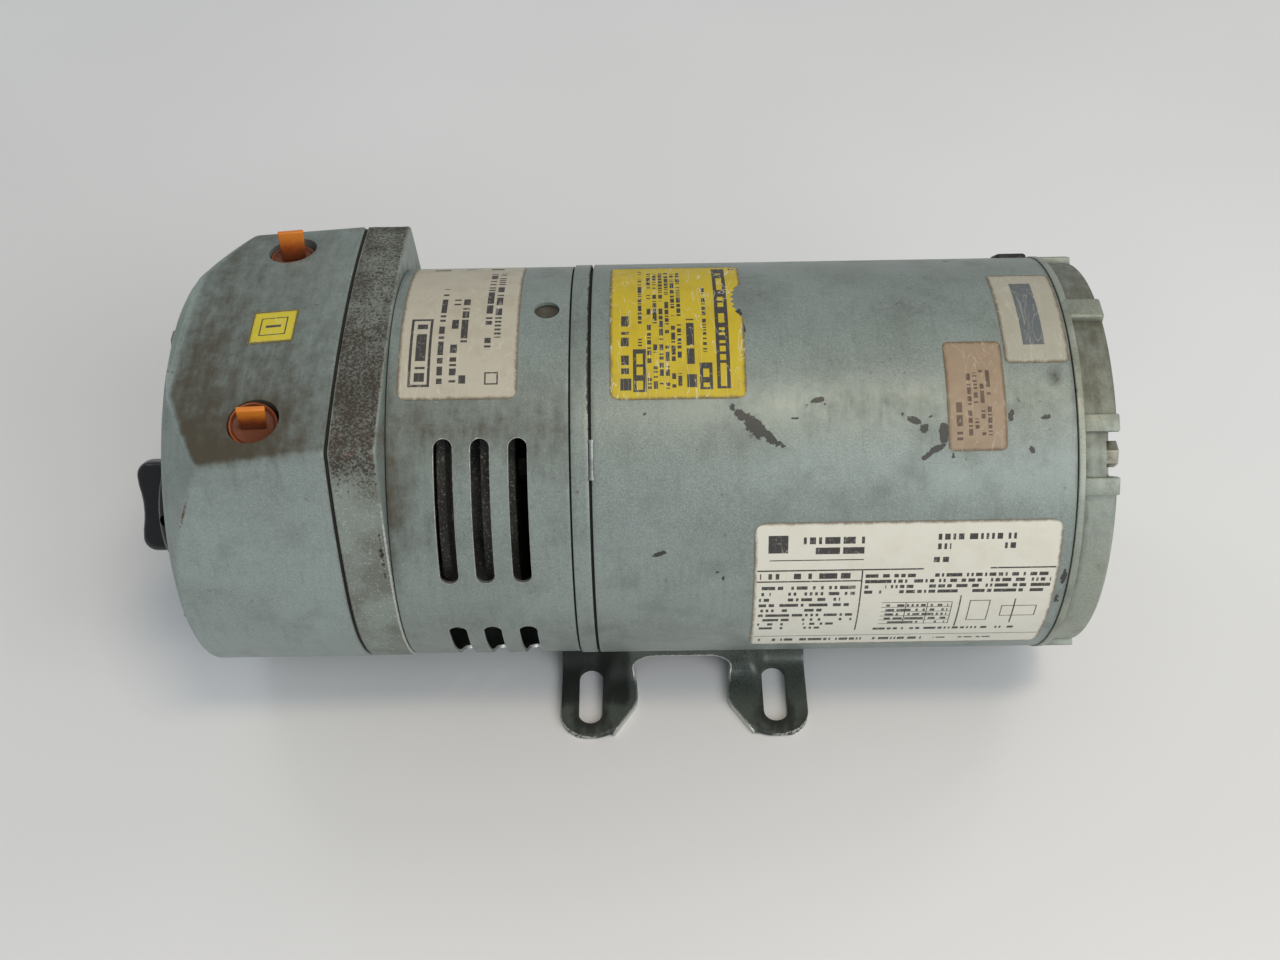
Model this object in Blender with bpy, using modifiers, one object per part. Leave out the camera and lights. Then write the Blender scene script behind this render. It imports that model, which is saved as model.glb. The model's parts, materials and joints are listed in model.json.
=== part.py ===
"""Rotary vane vacuum pump on a 48-frame fractional-horsepower motor.

Metres, +Z up, standing on its feet. Pieces are placed from an empty on the shaft axis, above the
middle of the four foot slots: +X runs along the shaft to the motor's rear end, +Y to the far side.
"""

import math

import bmesh
import bpy
from mathutils import Matrix, Vector

MM = 0.001
GAP = 0.3 * MM  # clearance that touching pieces keep
SHELL_SEGMENTS = 44  # round the largest turned pieces

# Motor and base: the 48-frame standard's shaft height and foot slots
SHAFT_HEIGHT = 76.2 * MM
SLOT_X = 34.925 * MM  # half of the 69.85 mm slot pattern along the shaft
SLOT_Y = 53.975 * MM  # half of the 107.95 mm slot pattern across the shaft
SHELL_RADIUS = 71.0 * MM
SHELL_WALL = 1.8 * MM
SHELL_FRONT = -30.0 * MM
SHELL_REAR = 127.1 * MM
BELL_RADIUS = 69.0 * MM
BELL_RIM_REAR = 129.7 * MM
BELL_END = 141.0 * MM
BOLT_HEAD_END = 141.4 * MM  # rearmost point, on the through-bolt heads
BOLT_SEAT = 136.8 * MM  # floor of the pockets that the bolt heads stand in
THROUGH_BOLT_RADIUS = 63.0 * MM  # of the circle the four bolts stand on
THROUGH_BOLT_ANGLES = (45, 135, 225, 315)
LEAD_ANGLE = 46  # where the supply leads leave the shell, up from +Y
STATOR_FRONT = 22.0 * MM
STATOR_REAR = 82.0 * MM
STATOR_SLOTS = 12
STATOR_BORE = 38.0 * MM
MOTOR_ROTOR_RADIUS = 36.8 * MM
BEARING_RADIUS = 16.0 * MM
BEARING_HUB_RADIUS = 20.0 * MM

# Stamped base
BASE_FRONT = -46.0 * MM
BASE_REAR = 47.0 * MM
BASE_SHEET = 2.8 * MM
BASE_EDGE = 72.3 * MM  # half the width over the feet
BASE_BEND = 39.0 * MM  # where the legs meet the feet
FOOT_SLOT_HALF = 4.5 * MM
FOOT_SLOT_LENGTH = 26.0 * MM

# Pump end, from the motor outwards
BRACKET_FRONT = -36.7 * MM
SHROUD_FRONT = -96.7 * MM
SHROUD_REAR = -37.3 * MM
SHROUD_RADIUS = 70.5 * MM
SHROUD_WALL = 1.2 * MM
SHROUD_SLOTS_X = (-77.3 * MM, -65.5 * MM, -53.5 * MM)
SHROUD_SLOT_WIDTH = 6.2 * MM
SHROUD_SLOTS_ANGLES = ((128, 169.3), (188, 229), (10.7, 52), (-49, -8))
SHROUD_SCREW_X = -65.0 * MM
SHROUD_SCREW_ANGLES = (255, 285)
ACCESS_HOLE_X = -45.0 * MM
ACCESS_HOLE_ANGLE = 88.3
ACCESS_HOLE_RADIUS = 4.5 * MM
REGISTER_FRONT = -50.2 * MM
REGISTER_RADIUS = 68.8 * MM
REGISTER_WALL = 2.2 * MM
FAN_RADIUS = 64.0 * MM
FAN_HUB_RADIUS = 13.0 * MM
FAN_FRONT = -50.5 * MM
FAN_REAR = -41.5 * MM
FAN_DISC = 1.2 * MM
FAN_BLADES = 8
HOUSING_FRONT = -112.4 * MM
HOUSING_REAR = -97.0 * MM
COVER_FRONT = -170.0 * MM
COVER_REAR = -113.5 * MM
COVER_WALL = 5.0 * MM

# Section of the cover and the end housing, seen along the shaft
SECTION_RADIUS = 71.0 * MM  # lower, round part
SIDE_RADIUS = 225.7 * MM
SIDE_CENTRE = Vector((154.1 * MM, -13.4 * MM))
TOP_RADIUS = 260.0 * MM
TOP_APEX = 71.0 * MM  # at the cover's rear edge
TOP_FALL = 5.2 * MM  # from there to the front
CORNER_RADIUS = 2.5 * MM

# Vane pump
BORE_RADIUS = 34.0 * MM
BORE_OFFSET = -4.5 * MM  # the bore's centre lies this far below the shaft
ROTOR_RADIUS = 29.4 * MM
PUMP_FRONT = -96.7 * MM
PUMP_REAR = -63.3 * MM
VANE_COUNT = 4
VANE_THICKNESS = 5.0 * MM
VANE_DEPTH = 13.2 * MM
VANE_ROOT = 16.0 * MM  # radius of the vane's inner edge at rest
SHAFT_RADIUS = 7.5 * MM
PUMP_BOLT_RADIUS = 44.0 * MM
PUMP_BOLT_ANGLES = (45, 135, 225, 315)
DRIVE_PLATE_REAR = -56.0 * MM
PASSAGE_Y = 22.0 * MM  # the intake and exhaust passages stand this far from the sealing line
PASSAGE_RADIUS = 5.0 * MM

# Ballast valve knob on the cover's end
KNOB_Y = -35.4 * MM
KNOB_Z = 17.4 * MM
KNOB_END = -187.0 * MM  # foremost point of the whole object
SKIRT_RADIUS = 20.1 * MM
BAR_LENGTH = 31.2 * MM
BAR_WIDTH = 9.0 * MM
BAR_ANGLE = 58.5  # degrees up from +Y
VALVE_RADIUS = 6.3 * MM
VALVE_SEAT = -158.8 * MM

# Ports in the cover's top
PORT_X = -137.8 * MM
PORT_Y = 43.5 * MM
PORT_RADIUS = 8.6 * MM
COVER_SCREWS = ((0, 60), (60, -8), (0, -60), (-60, -8))  # y, z in millimetres
COVER_SCREW_HEAD = 2.5 * MM
COVER_SCREW_TIP = -101.0 * MM
COVER_SCREW_HOLE = 2.8 * MM

# The bounding box is centred on the frame's origin
X_SHIFT = -(KNOB_END + BOLT_HEAD_END) / 2

ALONG_SHAFT = (0, math.radians(90), 0)  # local Z to +X
SECTION_PLANE = (math.radians(90), 0, math.radians(90))  # local X, Y to +Y, +Z


def clear_scene():
    for obj in list(bpy.data.objects):
        bpy.data.objects.remove(obj, do_unlink=True)


def new_collection(name):
    collection = bpy.data.collections.new(name)
    bpy.context.scene.collection.children.link(collection)
    return collection


def material(name, colour, roughness, metallic=0.0):
    mat = bpy.data.materials.new(name)
    mat.use_nodes = True
    shader = mat.node_tree.nodes["Principled BSDF"]
    shader.inputs["Base Color"].default_value = (*colour, 1.0)
    shader.inputs["Roughness"].default_value = roughness
    shader.inputs["Metallic"].default_value = metallic
    return mat


clear_scene()
PARTS = new_collection("rotary_vane_vacuum_pump")
CUTTERS = new_collection("cutters")

AXIS = bpy.data.objects.new("shaft_axis", None)
AXIS.location = (X_SHIFT, 0, SHAFT_HEIGHT)
PARTS.objects.link(AXIS)

ENAMEL = material("blue_grey_enamel", (0.27, 0.33, 0.34), 0.42, 0.25)
OLIVE = material("olive_grey_enamel", (0.24, 0.26, 0.22), 0.5, 0.25)
BASE_PAINT = material("green_grey_base_enamel", (0.16, 0.20, 0.19), 0.5, 0.25)
CAST = material("painted_rough_casting", (0.17, 0.16, 0.14), 0.8, 0.2)
IRON = material("machined_cast_iron", (0.30, 0.30, 0.30), 0.45, 1.0)
STEEL = material("bright_steel", (0.55, 0.55, 0.54), 0.3, 1.0)
ZINC = material("zinc_plated_steel", (0.48, 0.47, 0.42), 0.4, 1.0)
BRASS = material("brass", (0.62, 0.45, 0.18), 0.35, 1.0)
ALUMINIUM = material("cast_aluminium", (0.50, 0.51, 0.52), 0.5, 1.0)
LAMINATION = material("steel_laminations", (0.22, 0.22, 0.23), 0.55, 1.0)
COPPER = material("enamelled_copper", (0.45, 0.18, 0.07), 0.35, 1.0)
CARBON = material("carbon_graphite", (0.03, 0.03, 0.035), 0.55)
BLACK_PLASTIC = material("black_phenolic", (0.012, 0.013, 0.015), 0.3)
ORANGE = material("orange_cap_plastic", (0.75, 0.10, 0.02), 0.4)
RUBBER = material("black_rubber", (0.015, 0.015, 0.015), 0.7)
FELT = material("grey_felt", (0.45, 0.44, 0.40), 0.95)
FIBRE = material("gasket_fibre", (0.10, 0.09, 0.08), 0.85)


# ---------------------------------------------------------------- building


def place(obj, position, rotation):
    obj.parent = AXIS
    obj.location = position
    obj.rotation_euler = rotation


def add_part(mesh, name, mat, position=(0, 0, 0), rotation=(0, 0, 0)):
    """Link a mesh as a named piece of the object."""
    obj = bpy.data.objects.new(name, mesh)
    mesh.materials.clear()
    mesh.materials.append(mat)
    PARTS.objects.link(obj)
    place(obj, position, rotation)
    return obj


def add_cutter(mesh, position=(0, 0, 0), rotation=(0, 0, 0)):
    """Link a mesh as a hidden body that cuts or joins a piece."""
    obj = bpy.data.objects.new("cutter", mesh)
    CUTTERS.objects.link(obj)
    place(obj, position, rotation)
    obj.hide_render = True
    obj.display_type = "WIRE"
    return obj


def boolean(obj, other, operation):
    modifier = obj.modifiers.new(operation.lower(), "BOOLEAN")
    modifier.operation = operation
    modifier.object = other
    modifier.solver = "EXACT"


def cut(obj, *cutters):
    for cutter in cutters:
        boolean(obj, cutter, "DIFFERENCE")


def join(obj, *others):
    for other in others:
        boolean(obj, other, "UNION")


def bevel(obj, width, segments=2, angle=40):
    modifier = obj.modifiers.new("bevel", "BEVEL")
    modifier.width = width
    modifier.segments = segments
    modifier.limit_method = "ANGLE"
    modifier.angle_limit = math.radians(angle)


def smooth(mesh, angle=35):
    mesh.shade_smooth()
    mesh.set_sharp_from_angle(angle=math.radians(angle))


def screw(obj, segments, sweep=360):
    """Turn the object's profile about its own Z axis."""
    modifier = obj.modifiers.new("turn", "SCREW")
    modifier.axis = "Z"
    modifier.angle = math.radians(sweep)
    modifier.steps = segments
    modifier.render_steps = segments
    modifier.use_merge_vertices = True
    modifier.merge_threshold = 0.00001
    modifier.use_smooth_shade = True


def profile_mesh(points):
    """A turned piece's profile as (along, radius) pairs, from its +X end along the outer side.

    A profile that starts and ends on the axis stays open, and any other is closed into a ring.
    """
    mesh = bpy.data.meshes.new("profile")
    bm = bmesh.new()
    verts = [bm.verts.new((radius, 0, along)) for along, radius in points]
    for start, end in zip(verts, verts[1:]):
        bm.edges.new((start, end))
    if points[0][1] > 0:
        bm.edges.new((verts[-1], verts[0]))
    bm.to_mesh(mesh)
    bm.free()
    return mesh


def turned(name, points, mat, segments=40, y=0.0, z=0.0):
    obj = add_part(profile_mesh(points), name, mat, (0, y, z), ALONG_SHAFT)
    screw(obj, segments)
    return obj


def turned_cutter(points, segments=40, y=0.0, z=0.0):
    obj = add_cutter(profile_mesh(points), (0, y, z), ALONG_SHAFT)
    screw(obj, segments)
    return obj


def tube_profile(x0, x1, outer, inner):
    """A plain ring between x0 and x1, with x0 < x1."""
    return [(x1, outer), (x0, outer), (x0, inner), (x1, inner)]


def rod_profile(x0, x1, radius, chamfer=0.0):
    """A solid rod between x0 and x1, with x0 < x1."""
    points = [(x1, 0)]
    if chamfer:
        points += [(x1, radius - chamfer), (x1 - chamfer, radius)]
        points += [(x0 + chamfer, radius), (x0, radius - chamfer)]
    else:
        points += [(x1, radius), (x0, radius)]
    return points + [(x0, 0)]


def outline_mesh(outlines, thickness):
    """A flat plate from closed outlines, the inner ones being holes, centred on its plane."""
    curve = bpy.data.curves.new("outline", "CURVE")
    curve.dimensions = "2D"
    curve.fill_mode = "BOTH"
    curve.extrude = thickness / 2
    for outline in outlines:
        spline = curve.splines.new("POLY")
        spline.points.add(len(outline) - 1)
        for point, (u, v) in zip(spline.points, outline):
            point.co = (u, v, 0, 1)
        spline.use_cyclic_u = True
    holder = bpy.data.objects.new("outline", curve)
    bpy.context.scene.collection.objects.link(holder)
    evaluated = holder.evaluated_get(bpy.context.evaluated_depsgraph_get())
    mesh = bpy.data.meshes.new_from_object(evaluated)
    bpy.data.objects.remove(holder)
    bpy.data.curves.remove(curve)
    bm = bmesh.new()
    bm.from_mesh(mesh)
    bmesh.ops.remove_doubles(bm, verts=bm.verts, dist=0.000001)
    bmesh.ops.recalc_face_normals(bm, faces=bm.faces)
    bm.to_mesh(mesh)
    bm.free()
    return mesh


def prism(name, outlines, x0, x1, mat):
    """A plate of constant section between x0 and x1, with its outlines as (y, z) points."""
    mesh = outline_mesh(outlines, x1 - x0)
    smooth(mesh)
    return add_part(mesh, name, mat, ((x0 + x1) / 2, 0, 0), SECTION_PLANE)


def prism_cutter(outlines, x0, x1):
    return add_cutter(outline_mesh(outlines, x1 - x0), ((x0 + x1) / 2, 0, 0), SECTION_PLANE)


def box_mesh(size_x, size_y, size_z):
    mesh = bpy.data.meshes.new("box")
    bm = bmesh.new()
    bmesh.ops.create_cube(bm, size=1.0, matrix=Matrix.Diagonal((size_x, size_y, size_z, 1)))
    bm.to_mesh(mesh)
    bm.free()
    return mesh


def rod_mesh(radius, length, segments=16, top_radius=None):
    """A cylinder or cone along local Z."""
    mesh = bpy.data.meshes.new("rod")
    bm = bmesh.new()
    bmesh.ops.create_cone(
        bm,
        cap_ends=True,
        segments=segments,
        radius1=radius,
        radius2=radius if top_radius is None else top_radius,
        depth=length,
    )
    bm.to_mesh(mesh)
    bm.free()
    smooth(mesh)
    return mesh


def hole_cutter(radius, x0, x1, y=0.0, z=0.0, segments=16):
    return add_cutter(rod_mesh(radius, x1 - x0, segments), ((x0 + x1) / 2, y, z), ALONG_SHAFT)


def arc(centre, radius, start, end, steps):
    """Points on an arc, its angles in degrees, both ends included."""
    points = []
    for i in range(steps + 1):
        angle = math.radians(start + (end - start) * i / steps)
        points.append((centre[0] + radius * math.cos(angle), centre[1] + radius * math.sin(angle)))
    return points


def circle(radius, steps, centre=(0, 0)):
    return arc(centre, radius, 0, 360 - 360 / steps, steps - 1)


def polar(radius, degrees):
    angle = math.radians(degrees)
    return radius * math.cos(angle), radius * math.sin(angle)


# ---------------------------------------------------------------- the cover's section


def top_fall(x):
    """How far the crowned top has come down at this place along the cover."""
    return TOP_FALL * max(COVER_REAR - x, 0) / (COVER_REAR - COVER_FRONT)


def crossing(side, side_radius, top, top_radius):
    """Where circles about the side's and the top's centres cross, at +Y."""
    between = top - side
    distance = between.length
    along = (side_radius**2 - top_radius**2 + distance**2) / (2 * distance)
    height = math.sqrt(side_radius**2 - along**2)
    unit = between / distance
    return side + unit * along + Vector((-unit.y, unit.x)) * height


def section(inset=0.0, fall=0.0, lower_steps=20, side_steps=3, top_steps=4):
    """Closed outline of the cover as (y, z): round below, flared sides and a low-crowned top."""
    rounding = max(CORNER_RADIUS - inset, 0.5 * MM)
    side_radius = SIDE_RADIUS - inset
    top_radius = TOP_RADIUS - inset
    side = Vector((-SIDE_CENTRE.x, SIDE_CENTRE.y))
    top = Vector((0, TOP_APEX - fall - TOP_RADIUS))
    corner = crossing(side, side_radius - rounding, top, top_radius - rounding)
    tangent = math.degrees(math.atan2(-side.y, -side.x))
    side_end = math.degrees(math.atan2(corner.y - side.y, corner.x - side.x))
    top_start = math.degrees(math.atan2(corner.y - top.y, corner.x - top.x))
    half = arc(side, side_radius, tangent, side_end, side_steps)
    half += arc(corner, rounding, side_end, top_start, 2)[1:]
    half += arc(top, top_radius, top_start, 90, top_steps)[1:]
    mirrored = [(-y, z) for y, z in reversed(half[:-1])]
    lower = arc((0, 0), SECTION_RADIUS - inset, 180 - tangent, 360 + tangent, lower_steps)[1:-1]
    return half + mirrored + lower


def cover_form(inset, x0, x1):
    """Solid between x0 and x1 whose crowned top comes down towards the front."""
    mesh = bpy.data.meshes.new("cover_form")
    bm = bmesh.new()
    rings = []
    for x in (x1, x0):
        rings.append([bm.verts.new((x, y, z)) for y, z in section(inset, top_fall(x))])
    for i in range(len(rings[0])):
        bm.faces.new((rings[0][i - 1], rings[0][i], rings[1][i], rings[1][i - 1]))
    for ring in rings:
        bm.faces.new(ring)
    bmesh.ops.recalc_face_normals(bm, faces=bm.faces)
    bm.to_mesh(mesh)
    bm.free()
    return mesh


def end_form(inset=0.0):
    """Turned profile that trims the cover's end: flat face, small radius, then a 45 degree cone."""
    face = COVER_FRONT + inset
    rim = SECTION_RADIUS - inset
    rounding = 2.5 * MM
    reach = 20.0 * MM
    outer = [(HOUSING_REAR, rim + reach), (face + reach + rounding, rim + reach)]
    fillet = [
        (face + 1.6 * MM + rounding / 4, rim + 0.9 * MM),
        (face + rounding / 4, rim - 0.4 * MM),
        (face, rim - rounding / 2),
    ]
    return [(HOUSING_REAR, 0)] + outer + fillet + [(face, 0)]


# ---------------------------------------------------------------- fasteners


def hex_outline(across_flats):
    return circle(across_flats / math.sqrt(3), 6)


def hex_bolt(name, x_under, x_head, x_tip, shank, flats, y, z, mat=ZINC):
    """A hex-head bolt along the shaft, its head between x_under and x_head."""
    head_length = abs(x_head - x_under)
    low, high = sorted((x_under, x_tip))
    overlap = 0.2 * MM
    if x_head > x_under:
        high += overlap
    else:
        low -= overlap
    bolt = add_part(rod_mesh(shank, high - low, 8), name, mat, ((low + high) / 2, y, z), ALONG_SHAFT)
    head = add_cutter(
        outline_mesh([hex_outline(flats)], head_length), ((x_under + x_head) / 2, y, z), SECTION_PLANE
    )
    join(bolt, head)
    return bolt


def radial_frame(x, radius, degrees):
    """Location and rotation that point local Z outwards at an angle round the shaft."""
    y, z = polar(radius, degrees)
    turn = Matrix.Rotation(math.radians(degrees - 90), 4, "X")
    return (x, y, z), turn.to_euler()


# ---------------------------------------------------------------- cover and end housing


def port_frames():
    """Centre and outward tilt of the two ports, normal to the crowned top."""
    tilt = math.asin(PORT_Y / TOP_RADIUS)
    z = TOP_APEX - top_fall(PORT_X) - TOP_RADIUS * (1 - math.cos(tilt))
    return [((PORT_X, sign * PORT_Y, z), (-sign * tilt, 0, 0)) for sign in (1, -1)]


def along_normal(frame, distance):
    """The frame's location moved out along its own Z axis."""
    (x, y, z), rotation = frame
    tilt = rotation[0]
    return (x, y - math.sin(tilt) * distance, z + math.cos(tilt) * distance)


def chambers(x0, x1, inset):
    """Cutter for the intake and exhaust chambers, leaving the divider and the screws' posts."""
    hollow = add_cutter(cover_form(inset, x0, x1), (0, 0, 0))
    length = x1 - x0 + 2 * MM
    middle = (x0 + x1) / 2
    cut(hollow, add_cutter(box_mesh(length, 3 * MM, 150 * MM), (middle, 0, 0)))
    for y, z in COVER_SCREWS:
        post = rod_mesh(6 * MM, length, 8)
        cut(hollow, add_cutter(post, (middle, y * MM, z * MM), ALONG_SHAFT))
    return hollow


def muffler_cover():
    form = cover_form(0, COVER_FRONT, COVER_REAR)
    smooth(form)
    cover = add_part(form, "muffler_cover", ENAMEL, (0, 0, 0))
    boolean(cover, turned_cutter(end_form(), 40), "INTERSECT")
    hollow = chambers(COVER_FRONT + COVER_WALL, COVER_REAR + MM, COVER_WALL)
    boolean(hollow, turned_cutter(end_form(COVER_WALL), 24), "INTERSECT")
    for frame in port_frames():
        boss = add_cutter(rod_mesh(13 * MM, 20 * MM, 12), along_normal(frame, -2 * MM), frame[1])
        cut(hollow, boss)
    cut(cover, hollow)
    for frame in port_frames():
        port = add_cutter(rod_mesh(PORT_RADIUS, 30 * MM, 20), along_normal(frame, -5 * MM), frame[1])
        cut(cover, port)
    for y, z in COVER_SCREWS:
        screw_hole = (COVER_SCREW_HOLE, COVER_FRONT - MM, COVER_REAR + MM, y * MM, z * MM, 8)
        cut(cover, hole_cutter(*screw_hole))
    valve_hole = hole_cutter(VALVE_RADIUS + GAP, COVER_FRONT - MM, COVER_FRONT + 8 * MM, KNOB_Y, KNOB_Z)
    cut(cover, valve_hole)


def cover_gasket():
    x0, x1 = COVER_REAR + 0.25 * MM, HOUSING_FRONT - 0.25 * MM
    gasket = prism("cover_gasket", [section(0.8 * MM)], x0, x1, FIBRE)
    cut(gasket, chambers(x0 - MM, x1 + MM, COVER_WALL))
    for y, z in COVER_SCREWS:
        cut(gasket, hole_cutter(COVER_SCREW_HOLE, x0 - MM, x1 + MM, y * MM, z * MM, 8))


def end_housing():
    """Rough casting that closes the pump chamber and carries the outer bearing."""
    housing = prism("end_housing", [section()], HOUSING_FRONT, HOUSING_REAR, CAST)
    recess = chambers(HOUSING_FRONT - MM, HOUSING_FRONT + 7 * MM, 6 * MM)
    hub = add_cutter(rod_mesh(24 * MM, 30 * MM, 24), (HOUSING_FRONT, 0, 0), ALONG_SHAFT)
    cut(recess, hub)
    cut(housing, recess)
    for y, z in COVER_SCREWS:
        screw_end = COVER_SCREW_TIP + MM
        thread = (COVER_SCREW_HOLE, HOUSING_FRONT - MM, screw_end, y * MM, z * MM, 8)
        cut(housing, hole_cutter(*thread))
    # bearing pocket, then the shaft's clearance hole
    pocket_floor = -102.5 * MM
    cut(housing, hole_cutter(BEARING_RADIUS + GAP, HOUSING_FRONT - MM, pocket_floor, segments=24))
    shaft_hole = SHAFT_RADIUS + 2 * MM
    cut(housing, hole_cutter(shaft_hole, pocket_floor - MM, HOUSING_REAR + MM, segments=20))
    # intake and exhaust passages into the pump chamber
    for y in (-PASSAGE_Y, PASSAGE_Y):
        passage = (PASSAGE_RADIUS, HOUSING_FRONT - MM, HOUSING_REAR + MM, y, 17 * MM, 10)
        cut(housing, hole_cutter(*passage))
    for degrees in PUMP_BOLT_ANGLES:
        y, z = polar(PUMP_BOLT_RADIUS, degrees)
        cut(housing, hole_cutter(3.3 * MM, -106 * MM, HOUSING_REAR + MM, y, z, 8))


def cover_screws():
    for number, (y, z) in enumerate(COVER_SCREWS, 1):
        hex_bolt(
            f"cover_screw_{number}",
            COVER_FRONT - GAP,
            COVER_FRONT - GAP - COVER_SCREW_HEAD,
            COVER_SCREW_TIP,
            2.4 * MM,
            8 * MM,
            y * MM,
            z * MM,
        )


def port_plugs():
    """Push-in caps: a shank in the port, a low flange and an upright pull tab."""
    lean = math.radians(4)
    names = ("exhaust_port_plug", "intake_port_plug")
    turns = (11, 6)
    for name, frame, turn in zip(names, port_frames(), turns):
        upright = Matrix.Rotation(frame[1][0], 3, "X")
        rotation = (upright @ Matrix.Rotation(math.radians(turn), 3, "Z")).to_euler()
        shank = rod_mesh(PORT_RADIUS - 0.7 * MM, 9 * MM, 24)
        plug = add_part(shank, name, ORANGE, along_normal(frame, -4.5 * MM), rotation)
        lip = rod_mesh(PORT_RADIUS - 0.4 * MM, 1.6 * MM, 24)
        flange = add_cutter(lip, along_normal(frame, 0.2 * MM), rotation)
        grip = box_mesh(9 * MM, 2.0 * MM, 10 * MM)
        tab = add_cutter(grip, along_normal(frame, 3.2 * MM), rotation)
        tab.rotation_euler.rotate_axis("X", lean)
        bevel(tab, 0.8 * MM, 2)
        join(plug, flange, tab)


def felt_rolls():
    for name, sign in (("exhaust_felt", 1), ("intake_filter", -1)):
        turned(
            name,
            tube_profile(-158 * MM, -116 * MM, 16 * MM, 7 * MM),
            FELT,
            24,
            sign * 32 * MM,
            -26 * MM,
        )


# ---------------------------------------------------------------- ballast valve


def valve_body():
    """Threaded bushing through the end wall: stem gland, poppet chamber and seat orifice."""
    front = COVER_FRONT - 0.4 * MM
    rear = -156.5 * MM
    bushing = [
        (rear, VALVE_RADIUS),
        (front, VALVE_RADIUS),
        (front, 3.0 * MM),
        (-167.0 * MM, 3.0 * MM),
        (-167.0 * MM, 4.9 * MM),
        (VALVE_SEAT, 4.9 * MM),
        (VALVE_SEAT, 2.0 * MM),
        (rear, 2.0 * MM),
    ]
    turned("ballast_valve_body", bushing, BRASS, 16, KNOB_Y, KNOB_Z)


def valve_nut():
    x0 = COVER_FRONT + COVER_WALL + GAP
    x1 = x0 + 4 * MM
    flats = [(KNOB_Y + u, KNOB_Z + v) for u, v in hex_outline(17 * MM)]
    hole = circle(VALVE_RADIUS + GAP, 16, (KNOB_Y, KNOB_Z))
    prism("ballast_valve_nut", [flats, hole], x0, x1, BRASS)


def valve_poppet():
    """Seat disc that the stem pushes in and lets out without turning it."""
    disc = rod_profile(VALVE_SEAT - 3.7 * MM, VALVE_SEAT - 0.4 * MM, 4.5 * MM)
    turned("ballast_valve_poppet", disc, RUBBER, 16, KNOB_Y, KNOB_Z)


def valve_stem():
    stem = rod_profile(-182.0 * MM, VALVE_SEAT - 4.0 * MM, 2.6 * MM)
    turned("ballast_valve_stem", stem, BRASS, 12, KNOB_Y, KNOB_Z)


def knob():
    """Round skirt with a bar grip across it, its outer edge dished between two ears."""
    skirt_back = COVER_FRONT - 0.8 * MM
    skirt_front = -176.0 * MM
    knob_piece = turned(
        "ballast_knob",
        [
            (skirt_back, 0),
            (skirt_back, SKIRT_RADIUS - 0.6 * MM),
            (skirt_back - 1.0 * MM, SKIRT_RADIUS),
            (skirt_front + 1.0 * MM, SKIRT_RADIUS),
            (skirt_front, SKIRT_RADIUS - 1.0 * MM),
            (skirt_front - 0.8 * MM, 0),
        ],
        BLACK_PLASTIC,
        32,
        KNOB_Y,
        KNOB_Z,
    )
    # the grip's outline in its own plane: length across, height outwards from the skirt
    height = skirt_front - KNOB_END
    half = BAR_LENGTH / 2
    corner = 4.2 * MM
    ear = height - corner
    dish = 1.0 * MM
    grip = [(-half, -2 * MM), (half, -2 * MM)]
    grip += arc((half - corner, ear), corner, 0, 90, 4)
    grip += [(0, height - dish)]
    grip += arc((-half + corner, ear), corner, 90, 180, 4)
    bar = add_cutter(outline_mesh([grip], BAR_WIDTH))
    bevel(bar, 1.6 * MM, 1, 60)
    # local X runs along the bar, local Y outwards (-X), local Z across the bar
    across = math.radians(BAR_ANGLE)
    along = Vector((0, math.cos(across), math.sin(across)))
    out = Vector((-1, 0, 0))
    side = along.cross(out)
    turn = Matrix((along, out, side)).transposed()
    bar.location = (skirt_front, KNOB_Y, KNOB_Z)
    bar.rotation_euler = turn.to_euler()
    join(knob_piece, bar)
    cut(knob_piece, hole_cutter(2.9 * MM, -182.4 * MM, COVER_FRONT, KNOB_Y, KNOB_Z, 16))
    # set screw's hole, from the skirt's edge to the stem
    centre = Vector((-173.4 * MM, KNOB_Y, KNOB_Z))
    tilt = side.to_track_quat("Z", "Y").to_euler()
    cut(knob_piece, add_cutter(rod_mesh(1.8 * MM, 20 * MM, 12), centre + side * 11 * MM, tilt))
    screw_mesh = rod_mesh(1.45 * MM, 6 * MM, 12)
    add_part(screw_mesh, "knob_set_screw", STEEL, centre + side * 6 * MM, tilt)


# ---------------------------------------------------------------- vane pump


def pump_body():
    """Cylinder casting with cooling fins and an eccentric bore that nearly meets the rotor on top."""
    fin = 62 * MM
    root = 51 * MM
    spans = [(PUMP_FRONT, -93.0 * MM), (-81.5 * MM, -78.5 * MM), (-67.0 * MM, PUMP_REAR)]
    outer = []
    for start, end in reversed(spans):
        outer += [(end, root), (end, fin), (start, fin), (start, root)]
    outer = outer[1:-1]
    bore = 30 * MM
    body = turned("pump_body", outer + [(PUMP_FRONT, bore), (PUMP_REAR, bore)], CAST, 32)
    cut(body, hole_cutter(BORE_RADIUS, PUMP_FRONT - MM, PUMP_REAR + MM, 0, BORE_OFFSET, 36))
    # intake and exhaust pockets, on both sides of the sealing line at the top
    for y in (-PASSAGE_Y, PASSAGE_Y):
        cut(body, hole_cutter(PASSAGE_RADIUS, PUMP_FRONT - MM, -86 * MM, y, 19 * MM, 10))
    for degrees in PUMP_BOLT_ANGLES:
        y, z = polar(PUMP_BOLT_RADIUS, degrees)
        cut(body, hole_cutter(3.4 * MM, PUMP_FRONT - MM, PUMP_REAR + MM, y, z, 8))


def drive_plate():
    """Plate that closes the chamber's motor side."""
    plate = turned(
        "drive_end_plate",
        tube_profile(PUMP_REAR + GAP, DRIVE_PLATE_REAR, 56 * MM, SHAFT_RADIUS + 0.5 * MM),
        CAST,
        32,
    )
    for degrees in PUMP_BOLT_ANGLES:
        y, z = polar(PUMP_BOLT_RADIUS, degrees)
        cut(plate, hole_cutter(3.4 * MM, PUMP_REAR - MM, DRIVE_PLATE_REAR + MM, y, z, 8))


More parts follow.
